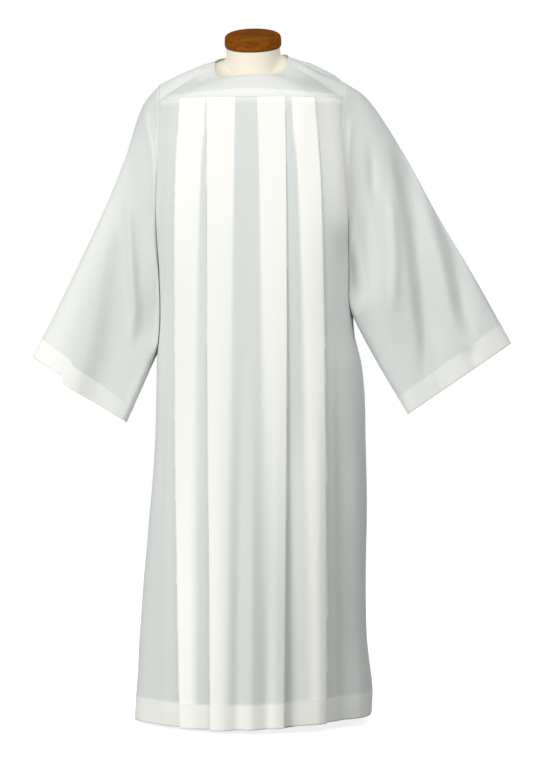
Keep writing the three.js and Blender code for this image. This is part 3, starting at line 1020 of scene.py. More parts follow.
        # The pale folds add seam allowances at the armholes and painted light.
        seam = seam + relief(self.pale, x, z)
        # Painted light: the hem's doubled cloth is whiter towards the front middle than at the sides.
        ahead = smooth((190.0 - np.abs(x)) / 50.0)
        hem = self.hem_white + self.hem_painted_light_ahead * ahead
        layers = np.maximum(thick + seam, low * mix(hem, 1.0, thick))
        return Sheet(name, points, layers)


FRONT_FOLDS = (
    Fold(((-14, 860), (-17, 500), (-20, -120)), -9.0, 13, 17, 0.55, 0),
    Fold(((12, 900), (10, 500), (10, -120)), 5.0, 13, 13, 0.6, 0),
    Fold(((38, 420), (41, 200), (42, -120)), -5.0, 12, 12, 0.6, 0),
    Fold(((-128, 900), (-124, 500), (-118, -120)), 3.5, 14, 26, 0.5, 0),
    Fold(((-60, 1000), (-62, 500), (-56, -120)), 3.0, 14, 18, 0.5, 0),
    Fold(((62, 950), (64, 500), (62, -120)), 3.0, 20, 12, 0.5, 0),
    Fold(((142, 900), (146, 500), (148, -120)), 6.0, 12, 40, 0.5, 0),
    Fold(((-186, 1000), (-196, 600), (-208, -120)), -4.0, 18, 26, 0.5, 0),
    Fold(((-226, 700), (-236, 300), (-244, -120)), 3.0, 16, 16, 0.5, 0),
    Fold(((184, 900), (196, 600), (206, -120)), -9.0, 24, 18, 0.4, 0),
    Fold(((222, 900), (232, 500), (240, -120)), 3.0, 16, 16, 0.5, 0),
    Fold(((190, 1345), (192, 1200), (196, 1000)), 5.0, 8, 36, 0.02, 0.5),
)
# Whiteness along lines: the two at the armholes are seam allowances, the one at +X made stronger as painted
# light; the other three are painted light.
FRONT_SEAM_AND_PAINTED_LIGHT = (
    Fold(((182, 1340), (184, 1240), (192, 1140), (202, 1030)), 0.8, 15, 26, 0.02, 0.2),
    Fold(((-192, 1340), (-194, 1240), (-200, 1140), (-206, 1030)), 0.3, 12, 8, 0.02, 0.2),
    Fold(((102, 700), (106, 400), (110, 60)), 0.3, 30, 26, 0.3, 0),
    Fold(((196, 1040), (198, 900), (200, 740)), 0.2, 16, 20, 0.3, 0.3),
    Fold(((-196, 1060), (-198, 600), (-206, 300)), 0.22, 22, 22, 0.3, 0.4),
)
BACK_FOLDS = (
    Fold(((-8, 1000), (-14, 500), (-22, -120)), -10.0, 18, 15, 0.5, 0),
    Fold(((22, 900), (24, 500), (30, -120)), 6.0, 14, 16, 0.6, 0),
    Fold(((-52, 950), (-50, 500), (-46, -120)), 4.0, 15, 15, 0.5, 0),
    Fold(((-116, 900), (-120, 500), (-122, -120)), 4.0, 16, 22, 0.5, 0),
    Fold(((118, 950), (124, 500), (130, -120)), 3.5, 20, 14, 0.5, 0),
    Fold(((-184, 1000), (-194, 600), (-208, -120)), -6.0, 18, 24, 0.5, 0),
    Fold(((188, 900), (198, 500), (206, -120)), -5.0, 20, 18, 0.4, 0),
)


# ------------------------------------------------------------------ shoulder cloth

SHOULDER_FOLDS = (
    Fold(((92, -26), (150, -34), (196, -22)), 3.4, 7, 9, 0.3, 0.3),
    Fold(((96, -6), (150, -12), (200, -4)), 3.8, 8, 8, 0.3, 0.25),
    Fold(((94, 14), (150, 12), (202, 18)), 3.0, 8, 9, 0.3, 0.25),
    Fold(((98, 40), (150, 46), (190, 50)), 2.6, 9, 9, 0.3, 0.3),
    Fold(((104, -16), (150, -23), (192, -13)), -2.6, 6, 6, 0.3, 0.3),
    Fold(((-104, -20), (-150, -28), (-190, -24)), 2.2, 9, 9, 0.3, 0.3),
    Fold(((-102, 6), (-150, 2), (-196, 6)), -2.2, 10, 10, 0.3, 0.3),
    Fold(((-104, 34), (-150, 38), (-190, 44)), 2.4, 9, 9, 0.3, 0.3),
    Fold(((-60, 92), (0, 99), (60, 92)), 2.0, 10, 8, 0.3, 0.3),
)


@dataclass
class Shoulders:
    """The cloth between the yoke seam and the neckline, in a front and a back piece.

    The white values are set one by one. The ground fades towards +X, as if lit from -X.
    """

    seam_at_neck: float = 38.0
    seam_at_arm: float = 13.0
    bulge: float = 5.0
    neckline: Oval = Oval(82.0, 76.0, 89.0, 62.0, 3.0)
    strip: float = 21.0
    front_neck_z: float = 1383.0
    side_neck_z: float = 1431.0
    back_neck_z: float = 1444.0
    facing_run: float = 0.64
    ground_white: float = 0.30
    strip_white: float = 0.34
    facing_white: float = 0.12

    def arch(self, y: np.ndarray) -> np.ndarray:
        """Height of the armhole's upper arch over a distance y.

        Args:
            y: Distances from the armhole's middle, front to back.

        Returns:
            The height, nowhere below the yoke seam.
        """
        share = np.minimum(np.abs(y) / ARM_HALF_DEPTH, 1.0)
        arch = ARM_CENTRE_Z + ARM_HALF_HEIGHT * np.sqrt(1 - share * share)
        return np.maximum(SEAM_Z, arch)

    def lift(self, x: np.ndarray, y: np.ndarray) -> np.ndarray:
        """How far the seam edge stands over the stack of pleats below it.

        Args:
            x: The seam's x.
            y: The seam's y; the front is below 0.

        Returns:
            The distance outwards, in millimetres.
        """
        gap = 0.8
        front = np.where(y < 0, 1.0, 0.0)
        marks = ((-148, 2), (-89, 2), (76, -2), (138, -2))
        rear = ((-138, 2), (-78, 2), (76, -2), (136, -2))
        stack = np.zeros(x.shape)
        for group, share in ((marks, front), (rear, 1 - front)):
            for at, step in group:
                stack = stack + share * step * smooth((x - at) / 5.0 + 0.7)
        flat = smooth((np.abs(y) - 60.0) / 20.0)
        return 0.4 + stack * gap * flat

    def point(self, angle: np.ndarray, run: np.ndarray) -> np.ndarray:
        """A point of the cloth's middle; run 0 is the seam and run 1 the neckline.

        Args:
            angle: Angles round the body in radians.
            run: Shares of the way from seam to neckline.

        Returns:
            Millimetre points, with x, y and z last.
        """
        low = body_oval(np.full(np.shape(angle), SEAM_Z))
        ox, oy = low.point(angle)
        nx, ny = low.outward(ox, oy)
        out = self.lift(ox, oy)
        ox, oy = ox + nx * out, oy + ny * out
        ix, iy = self.neckline.point(angle)
        deep = np.where(iy < 0, self.neckline.front, self.neckline.back)
        frontness = smooth(np.abs(iy) / deep * 1.15)
        level = np.where(iy < 0, self.front_neck_z, self.back_neck_z)
        top = mix(self.side_neck_z, level, frontness) + 4.0 * ix / self.neckline.right
        z = mix(self.arch(oy), top, run) + self.bulge * np.sin(np.pi * run)
        return np.stack([mix(ox, ix, run), mix(oy, iy, run), z], axis=-1)

    def finish(self, points: np.ndarray, runs: np.ndarray, shift: float, edge: float,
               closed: bool = False) -> np.ndarray:
        """Lift the wrinkles and move a layer off the cloth's middle.

        Args:
            points: The plain cloth, row by row from the seam.
            runs: Each row's share of the way to the neckline.
            shift: How far outside its middle the layer lies.
            edge: How far the first row is let down.
            closed: Whether the rows close on themselves.

        Returns:
            The moved points.
        """
        ahead = np.roll(points, -1, axis=1) if closed else None
        behind = np.roll(points, 1, axis=1) if closed else None
        across = (ahead - behind) if closed else np.gradient(points, axis=1)
        up = np.gradient(points, axis=0)
        normal = np.cross(across, up)
        normal = normal / np.maximum(np.linalg.norm(normal, axis=2, keepdims=True), 1e-9)
        normal = normal * np.where(normal[..., 2:].mean() < 0, -1.0, 1.0)
        calm = smooth(runs / 0.14)[:, None] * smooth((1 - runs) / 0.10)[:, None]
        out = relief(SHOULDER_FOLDS, points[..., 0], points[..., 1]) * calm + shift
        moved = points + normal * out[..., None]
        moved[0, :, 2] -= edge
        return moved

    def runs(self) -> np.ndarray:
        """Rows from the seam to the neckline, closer at both ends."""
        t = np.linspace(0.0, 1.0, 44)
        return mix(t, smooth(t), 0.45)

    def whiteness(self, points: np.ndarray, runs: np.ndarray) -> np.ndarray:
        """How white the shoulder cloth looks: its ground, the double strip and the facing; the ground's fade
        towards +X is painted shade.

        Args:
            points: The plain cloth, row by row from the seam.
            runs: Each row's share of the way to the neckline.

        Returns:
            A value for each point, from 0 for thin to 1 for thick.
        """
        away = np.linalg.norm(points - points[:1], axis=2)
        strip = smooth((self.strip - away) / 2.5 + 0.5)
        on_body = smooth((np.abs(points[:1, :, 1]) - 50.0) / 8.0)
        facing = smooth((runs - self.facing_run) / 0.04)[:, None] * self.facing_white
        # Painted light and shade: away from the seam the ground stays whiter towards -X and fades out towards +X.
        fade = smooth((points[..., 0] - 70.0) / 70.0) * smooth(away / 60.0)
        base = self.ground_white - self.ground_white * fade
        return np.maximum(base + self.strip_white * strip * on_body, base + facing)

    def sheets(self) -> list[Sheet]:
        """Lay out the shoulder cloth.

        Returns:
            The front yoke, the back yoke and the neck facing, in that order.
        """
        runs = self.runs()
        made = []
        for name, columns in (("yoke_front_cloth", 150), ("yoke_back_cloth", 250)):
            swing = np.radians(mix(self.seam_at_arm, self.seam_at_neck, runs))[:, None]
            share = np.linspace(0.0, 1.0, columns)[None, :]
            if name == "yoke_front_cloth":
                angle = mix(-np.pi + swing, -swing, share)
            else:
                angle = mix(-swing, np.pi + swing, share)
            base = self.point(angle, np.repeat(runs[:, None], columns, axis=1))
            points = self.finish(base, runs, 0.0, 1.6)
            made.append(Sheet(name, points, self.whiteness(base, runs)))
        inner = np.linspace(self.facing_run, 0.998, 14)
        angle = np.repeat(np.linspace(-np.pi, np.pi, 221)[None, :-1], len(inner), axis=0)
        base = self.point(angle, np.repeat(inner[:, None], 220, axis=1))
        points = self.finish(base, inner, -0.95, 0.0, True)
        made.append(Sheet("neck_facing_cloth", points, np.full(points.shape[:2], 0.7), True))
        return made


# ------------------------------------------------------------------ sleeves

SLEEVE_NAMES = ("run", "outX", "outY", "outZ", "inX", "inY", "inZ", "front", "back")
RIGHT_RUNS = Table(SLEEVE_NAMES, (
    (0, -203, 0, 1375, -213, 0, 1040, 75, 75), (0.12, -241, -2, 1327, -202, -2, 985, 64, 62),
    (0.3, -279, -6, 1212, -192, -14, 905, 50, 48), (0.5, -335, -10, 1078, -195, -18, 832, 44, 44),
    (0.75, -409, -12, 923, -229, -4, 752, 40, 36), (1, -482, -10, 778, -273, -12, 652, 34, 34)))
LEFT_RUNS = Table(SLEEVE_NAMES, (
    (0, 200, 0, 1375, 213, 0, 1040, 75, 75), (0.12, 250, -2, 1338, 204, 0, 1000, 64, 62),
    (0.3, 322, -6, 1228, 200, -12, 945, 52, 48), (0.5, 397, -10, 1090, 211, -14, 886, 48, 44),
    (0.75, 479, -12, 951, 266, 4, 778, 44, 37), (1, 555, -10, 814, 335, -8, 663, 36, 34)))

RIGHT_FRONT = (
    Fold(((-296, 1130), (-316, 1028), (-352, 815), (-392, 700)), 14.0, 34, 64, 0.25, 0),
    Fold(((-272, 1140), (-290, 940), (-316, 790), (-336, 690)), -5.0, 42, 30, 0.3, 0),
    Fold(((-268, 1160), (-260, 1019), (-252, 880), (-262, 790)), 9.0, 10, 10, 0.3, 0.2),
    Fold(((-232, 1335), (-210, 1240), (-202, 1180), (-198, 1110)), 7.0, 7, 12, 0.15, 0.3),
    Fold(((-217, 1305), (-207, 1262), (-202, 1230)), -4.0, 4, 4, 0.2, 0.3),
    Fold(((-228, 1160), (-230, 1040), (-236, 900)), -4.0, 15, 15, 0.35, 0.3),
    Fold(((-352, 990), (-392, 880), (-436, 760)), -2.5, 14, 18, 0.4, 0),
    Fold(((-204, 1010), (-207, 880), (-222, 770)), -27.0, 12, 44, 0.6, 0.4),
)
# Whiteness along lines on the right sleeve: the last is the seam allowance at the armhole, the first two are
# painted light.
RIGHT_SEAM_AND_PAINTED_LIGHT = (
    Fold(((-216, 786), (-232, 750), (-276, 650)), 0.5, 8, 16, 0.25, 0),
    Fold(((-262, 1300), (-334, 1080), (-440, 780)), 0.42, 34, 60, 0.15, 0),
    Fold(((-226, 1330), (-206, 1220), (-200, 1120)), 0.25, 8, 12, 0.2, 0.3),
)
# On the left sleeve the last is the seam allowance at the armhole and the first is painted light.
LEFT_SEAM_AND_PAINTED_LIGHT = (
    Fold(((512, 900), (532, 850), (548, 800)), 0.22, 24, 24, 0.4, 0),
    Fold(((212, 1310), (208, 1195), (206, 1040)), 0.25, 8, 8, 0.1, 0.3),
)
RIGHT_BACK = (
    Fold(((-268, 1180), (-292, 1000), (-340, 800), (-372, 690)), -12.0, 20, 18, 0.3, 0),
    Fold(((-292, 1120), (-330, 960), (-392, 770)), 8.0, 16, 22, 0.3, 0),
    Fold(((-226, 1260), (-236, 1080), (-246, 900)), 6.0, 12, 14, 0.3, 0.3),
)
LEFT_FRONT = (
    Fold(((252, 1262), (259, 1180), (266, 1090)), -6.0, 10, 11, 0.5, 0.5),
    Fold(((300, 1270), (318, 1200), (342, 1076), (360, 927), (370, 822), (378, 690)),
         -19.0, 34, 14, 0.2, 0.3),
    Fold(((288, 1160), (300, 1090), (306, 1000), (304, 860)), 7.0, 12, 10, 0.3, 0.3),
    Fold(((364, 1190), (400, 1120), (430, 1010), (448, 900), (466, 800)), -14.0, 30, 18, 0.4, 0.35),
    Fold(((434, 950), (460, 876), (480, 810)), -6.0, 8, 20, 0.45, 0.4),
    Fold(((350, 1130), (396, 1010), (426, 900), (452, 800)), 3.0, 16, 14, 0.4, 0.4),
    Fold(((262, 1010), (288, 880), (322, 740), (346, 640)), 8.0, 55, 22, 0.35, 0),
    Fold(((462, 812), (478, 770), (490, 740)), -7.0, 12, 16, 0.3, 0),
    Fold(((240, 1110), (252, 1000), (262, 900)), -7.0, 12, 14, 0.3, 0.3),
    Fold(((350, 900), (372, 800), (386, 700)), 5.0, 16, 16, 0.35, 0.2),
    Fold(((212, 1310), (206, 1195), (200, 1100)), 4.0, 8, 8, 0.2, 0.3),
    Fold(((500, 960), (520, 900), (538, 850)), 4.0, 14, 12, 0.4, 0.2),
    Fold(((211, 1045), (214, 960), (224, 875)), -21.0, 20, 12, 0.5, 0.4),
)
LEFT_BACK = (
    Fold(((280, 1220), (318, 1060), (352, 900), (372, 720)), -12.0, 18, 20, 0.3, 0),
    Fold(((332, 1150), (392, 990), (446, 850), (470, 760)), 8.0, 20, 16, 0.3, 0),
    Fold(((246, 1240), (256, 1080), (270, 930)), 6.0, 12, 12, 0.3, 0.3),
)


@dataclass
class Sleeve:
    """A wide tube from the armhole to its turned-up cuff hem.

    The pale folds and the white values change only the colour and move nothing. Seam allowances and
    the cuff are doubled cloth; the other pale folds are painted light, the cuff's fall inwards painted shade.
    """

    name: str
    side: Side
    table: Table
    front_folds: tuple[Fold, ...]
    back_folds: tuple[Fold, ...]
    ripple: Ripple
    pale: tuple[Fold, ...] = ()
    cuff_white_and_painted_shade: tuple[float, float] = (0.6, 0.6)
    square: float = 8.0
    lap: float = 2.6
    cuff_start: float = 0.925
    seam_white: float = 0.4
    pale_behind: float = 0.4
    lining_white: float = 0.85
    around: int = 184
    rise: tuple[float, float, float] = (0.0, 0.0, 0.0)

    def inner_fold(self, turn: np.ndarray) -> tuple[np.ndarray, np.ndarray]:
        """Across and depth shares of the tube's inner half, which lies flat to its fold.

        Args:
            turn: Angles round the tube in radians.

        Returns:
            The across share and the depth share at each angle.
        """
        swing = np.linspace(0.0, 1.0, 900) ** 2 * np.pi / 2
        c, s = np.cos(swing) ** (2 / self.square), np.sin(swing) ** (2 / self.square)
        run = np.concatenate([[0.0], np.cumsum(np.hypot(np.diff(c), np.diff(s)))])
        past = np.mod(turn, 2 * np.pi) - np.pi
        at = np.minimum(np.abs(past) / (np.pi / 2), 1.0) * run[-1]
        return -np.interp(at, run, c), -np.sign(past) * np.interp(at, run, s)

    def section(self, run: np.ndarray, turn: np.ndarray) -> np.ndarray:
        """A point of the plain tube; turn 0 is the outer fold, a quarter is the front.

        Args:
            run: Shares of the way from armhole to cuff.
            turn: Angles round the tube in radians.

        Returns:
            Millimetre points, with x, y and z last.
        """
        c, s = np.cos(turn), np.sin(turn)
        flat_c, flat_s = self.inner_fold(turn)
        s = np.where(c < 0, flat_s, s)
        c = np.where(c < 0, flat_c, c)
        share = (1 - c) / 2
        deep = np.where(s > 0, self.table.read(run, "front"), self.table.read(run, "back"))
        x = mix(self.table.read(run, "outX"), self.table.read(run, "inX"), share)
        y = mix(self.table.read(run, "outY"), self.table.read(run, "inY"), share)
        z = mix(self.table.read(run, "outZ"), self.table.read(run, "inZ"), share)
        return np.stack([x, y - deep * s, z], axis=-1)

    def armhole(self, turn: np.ndarray) -> np.ndarray:
        """The armhole's loop, just outside the body.

        Args:
            turn: Angles round the tube in radians; 0 is the top.

        Returns:
            Millimetre points, with x, y and z last.
        """
        c, s = np.cos(turn), np.sin(turn)
        over = np.maximum(c, 0.0)
        y = -(ARM_HALF_DEPTH + self.lap * (1 - over)) * s
        z = ARM_CENTRE_Z + (ARM_HALF_HEIGHT + self.lap * mix(1.0, 0.55, over)) * c
        reach = body_oval(np.minimum(z, SEAM_Z)).reach(y, self.side.value)
        out = 0.8 - self.lap * 0.85 * smooth(over * 1.2 - 0.1)
        return np.stack([reach + self.side.value * out, y, z + 0.7 * over], axis=-1)

    def rest_on_body(self, points: np.ndarray) -> np.ndarray:
        """Move cloth that would lie inside the skirt out onto it.

        Args:
            points: Millimetre points, with x, y and z last.

        Returns:
            The points, moved level and straight out from the middle where needed.
        """
        x, y, z = points[..., 0], points[..., 1], points[..., 2]
        level = np.minimum(z, SEAM_Z)
        clear = 1.5 + 0.6 * np.exp(-(((level - 950.0) / 36.0) ** 2))
        body = body_oval(level)
        wide = np.where(x < 0, body.left, body.right) + clear
        deep = np.where(y < 0, body.front, body.back) + clear
        far = ((np.abs(x) / wide) ** body.power + (np.abs(y) / deep) ** body.power)
        push = np.maximum(1.0, far ** (-1 / body.power))
        return points * np.stack([push, push, np.ones_like(push)], axis=-1)

    def edge_shift(self, turn: np.ndarray) -> np.ndarray:
        """How far the cuff's edge hangs past the plain tube, along the sleeve.

        Args:
            turn: Angles round the tube in radians.

        Returns:
            The distance in millimetres at each angle.
        """
        across = (1 - np.cos(turn)) / 2
        front = smooth(np.sin(turn) * 2.0 + 0.5)
        step, drop, back_drop = self.rise
        shape = mix(-step, drop, smooth((across - 0.33) / 0.07))
        behind = mix(-step - 2.0, back_drop, smooth((across - 0.30) / 0.15))
        return mix(behind, shape, front)

    def points(self, runs: np.ndarray, turn: np.ndarray, shift: float) -> np.ndarray:
        """The sleeve's grid of points.

        Args:
            runs: Shares of the way from armhole to cuff.
            turn: Angles round the tube.
            shift: How far outside the middle of the cloth the layer lies.

        Returns:
            Points, one row a run.
        """
        run, angle = np.meshgrid(runs, turn, indexing="ij")
        base = self.section(run, angle)
        start = self.armhole(angle) - self.section(np.zeros_like(run), angle)
        plain = base + start * (1 - smooth(run / 0.2))[..., None]
        s = np.sin(angle)
        facing = smooth(np.abs(s) * 2.4)
        calm = smooth(run / 0.06)
        x, z = plain[..., 0], plain[..., 2]
        front = relief(self.front_folds, x, z) + self.ripple.lift(x, z)
        back = relief(self.back_folds, x, z) + self.ripple.lift(z, x)
        lift = np.where(s >= 0, front, back) * facing * calm
        plain[..., 1] -= np.sign(s) * lift
        plain = mix(plain, self.rest_on_body(plain), smooth(run / 0.08)[..., None])
        way = self.section(np.ones_like(run), angle) - self.section(np.full_like(run, 0.9), angle)
        way = way / np.linalg.norm(way, axis=2, keepdims=True)
        tail = smooth((run - 0.84) / 0.16) * self.edge_shift(angle)
        plain = plain + way * tail[..., None]
        across = np.roll(plain, -1, axis=1) - np.roll(plain, 1, axis=1)
        up = np.gradient(plain, axis=0)
        normal = np.cross(across, up)
        normal = normal / np.maximum(np.linalg.norm(normal, axis=2, keepdims=True), 1e-9)
        ahead = normal[:, angle.shape[1] // 4, 1].mean()
        normal = normal * (-1.0 if ahead > 0 else 1.0)
        band = 0.5 * smooth((run - self.cuff_start + 0.002) / 0.004)
        bead = 0.3 * np.exp(-(((run - self.cuff_start) / 0.005) ** 2))
        out = shift + (band + bead if shift == 0 else 0.0)
        return plain + normal * np.asarray(out)[..., None]

    def runs(self) -> np.ndarray:
        """The rows, closest at the armhole and at the hem's sewn line.

        Returns:
            Shares of the way from armhole to cuff.
        """
        return np.concatenate([
            [0, 0.006, 0.014, 0.024], np.linspace(0.036, 0.905, 84),
            [0.913, 0.919, 0.9225, 0.925, 0.9275, 0.931, 0.94, 0.955, 0.97, 0.985, 0.996, 1.0]])

    def sheets(self) -> list[Sheet]:
        """Lay out the sleeve.

        Returns:
            The sleeve and its turned-up hem.
        """
        turn = np.arange(self.around) / self.around * 2 * np.pi
        runs = self.runs()
        points = self.points(runs, turn, 0.0)
        seam = self.seam_white * (1 - smooth((runs - 0.004) / 0.03))
        # The cuff is doubled cloth; its whiteness falling from the outer to the inner fold is painted shade.
        outer, inner = self.cuff_white_and_painted_shade
        cuff = smooth((runs - self.cuff_start + 0.0015) / 0.003)[:, None]
        cuff = cuff * mix(outer, inner, (1 - np.cos(turn)) / 2)[None, :]
        # The pale folds are seam allowances and painted light; they are weaker on the back half.
        front = np.where(np.sin(turn) > 0, 1.0, self.pale_behind)[None, :]
        pale = relief(self.pale, points[..., 0], points[..., 2]) * front
        layers = np.maximum(seam[:, None] + pale, cuff)
        tube = Sheet(f"{self.name}_cloth", points, layers, True)
        turned_up = np.linspace(self.cuff_start, 1.0, 12)
        lining = self.points(turned_up, turn, -0.85)
        lining[-1] = self.points(np.array([0.99, 1.0]), turn, -0.15)[-1]
        hem = Sheet(f"{self.name}_hem_cloth", lining, np.full(lining.shape[:2], self.lining_white), True)
        return [tube, hem]


# ------------------------------------------------------------------ dress form and stand


@dataclass
class DressForm:
    """The limbless torso and neck that the alb rests on."""

    shoulders: Shoulders
    under: float = 2.6
    half_width: float = 59.0
    half_depth: float = 57.0
    top_z: float = 1457.0
    lean: float = 22.0
    around: int = 160
    rows: Table = Table(("z", "left", "right", "front", "back", "power"), (
        (712, 88, 88, 78, 74, 2.2), (722, 118, 118, 96, 92, 2.3), (780, 150, 150, 106, 102, 2.3),
        (900, 160, 160, 104, 104, 2.3), (1020, 154, 154, 100, 96, 2.3),
        (1150, 168, 168, 108, 102, 2.4), (1260, 182, 182, 112, 104, 2.6),
        (1316, 192, 190, 117, 108, 2.8)))

    def rings(self) -> list[np.ndarray]:
        """Closed rings from the torso's underside to the top of the neck.

        Returns:
            The rings, each with one row a point.
        """
        angle = np.linspace(-np.pi, np.pi, self.around + 1)[:-1]
        made = []
        for z in [712, 713.5, 716, 719, 722, 728, 738, 752, *np.linspace(780, 1316, 34)]:
            row = Oval(*(self.rows.read(z, name) for name in self.rows.names[1:]))
            x, y = row.point(angle)
            made.append(np.stack([x, y, np.full_like(x, z)], axis=1))
        runs = np.linspace(0.2, 0.985, 20)
        cloth = self.shoulders.point(np.repeat(angle[None, :], len(runs), axis=0),
                                     np.repeat(runs[:, None], self.around, axis=1))
        calm = self.shoulders.finish(cloth, np.zeros(len(runs)), -self.under, 0.0, True)
        made.extend(list(calm))
        foot = calm[-1]
        round_to = np.arctan2(foot[:, 1], foot[:, 0])
        x, y = self.half_width * np.cos(round_to), self.half_depth * np.sin(round_to)
        top = self.top_z + self.lean * y / self.half_depth
        low = np.minimum(foot[:, 2] + 12.0, top - 4.0)
        for t in np.linspace(0.0, 1.0, 8)[1:]:
            ease = np.sin(t * np.pi / 2)
            ring = np.stack([mix(foot[:, 0], x, ease), mix(foot[:, 1], y, ease),
                             mix(foot[:, 2], low, 1 - np.cos(t * np.pi / 2))], axis=1)
            made.append(ring)
        for t in np.linspace(0.0, 1.0, 10)[1:]:
            waist = 1.0 - 0.012 * np.sin(np.pi * t)
            made.append(np.stack([x * waist, y * waist, mix(low, top, t)], axis=1))
        return made

    def build(self, material: bpy.types.Material) -> bpy.types.Object:
        """Make the covered form.

        Args:
            material: The cover.

        Returns:
            The new object.
        """
        rings = self.rings()
        ends = np.array([rings[0].mean(axis=0), rings[-1].mean(axis=0)])
        points = np.concatenate([*rings, ends])
        return solid_mesh("form_torso", points, ring_faces(len(rings), self.around), material, 60)


@dataclass
class NeckCap:
    """The turned wooden cap on the neck, leaning with it."""

    radius: float = 61.5
    lift: float = 0.4
    rim: float = 10.0
    dome: float = 22.0
    wall: float = 18.5
    square: float = 0.40

    def build(self, form: DressForm, material: bpy.types.Material) -> bpy.types.Object:
        """Make the cap with its rounded rim and low dome.

        Args:
            form: The form whose neck it closes.
            material: The wood.

        Returns:
            The cap, tilted and set on the neck.
        """
        r = self.radius
        rim = [(r * 0.935, 0.0), (r * 0.965, 0.6), (r * 0.985, 1.8), (r * 0.997, 3.6), (r, 5.4),
               (r, 9.0), (r * 0.999, 14.0), (r * 0.994, 18.0)]
        swing = np.linspace(0.04, 0.985, 24) * np.pi / 2
        dome = [(r * 0.992 * math.cos(a) ** self.square,
                 self.wall + (self.rim + self.dome - self.wall) * math.sin(a) ** 0.9)
                for a in swing]
        cap = Turned("cap_turned", tuple(rim + dome)).build(material)
        tilt = math.atan2(form.lean, form.half_depth)
        cap.data.transform(Matrix.Translation((0, 0, (form.top_z + self.lift) * METRE))
                           @ Matrix.Rotation(tilt, 4, "X"))
        return cap


@dataclass
class Stand:
    """The steel pole and the round iron foot."""

    radius: float = 16.0
    collar: float = 24.0
    collar_height: float = 30.0
    base: float = 130.0

    def build(self, steel: bpy.types.Material, iron: bpy.types.Material) -> list:
        """Make the pole with its collar, and the foot with its boss.

        Args:
            steel: The pole's material.
            iron: The foot's material.

        Returns:
            The pole and the foot.
        """
        top = FORM_FOOT_Z - SEAM_GAP
        low = top - self.collar_height
        r, c, b = self.radius, self.collar, self.base
        pole = Turned("pole_turned", (
            (r, 26.3), (r, low - 1.5), (r + 1.2, low - 0.4), (c - 1.5, low), (c - 0.4, low + 0.4),
            (c, low + 1.5), (c, top - 1.2), (c - 1.2, top)), 96).build(steel)
        foot = Turned("base_cast", (
            (b - 1.2, 0.0), (b - 0.3, 0.4), (b, 1.4), (b, 4.6), (b - 0.6, 6.2), (b - 3, 7.0),
            (90, 8.6), (56, 11.0), (48, 12.4), (40, 16.2), (34, 21.0), (31.8, 24.4), (29, 26.0)),
            160).build(iron)
        return [pole, foot]


# ------------------------------------------------------------------ studio


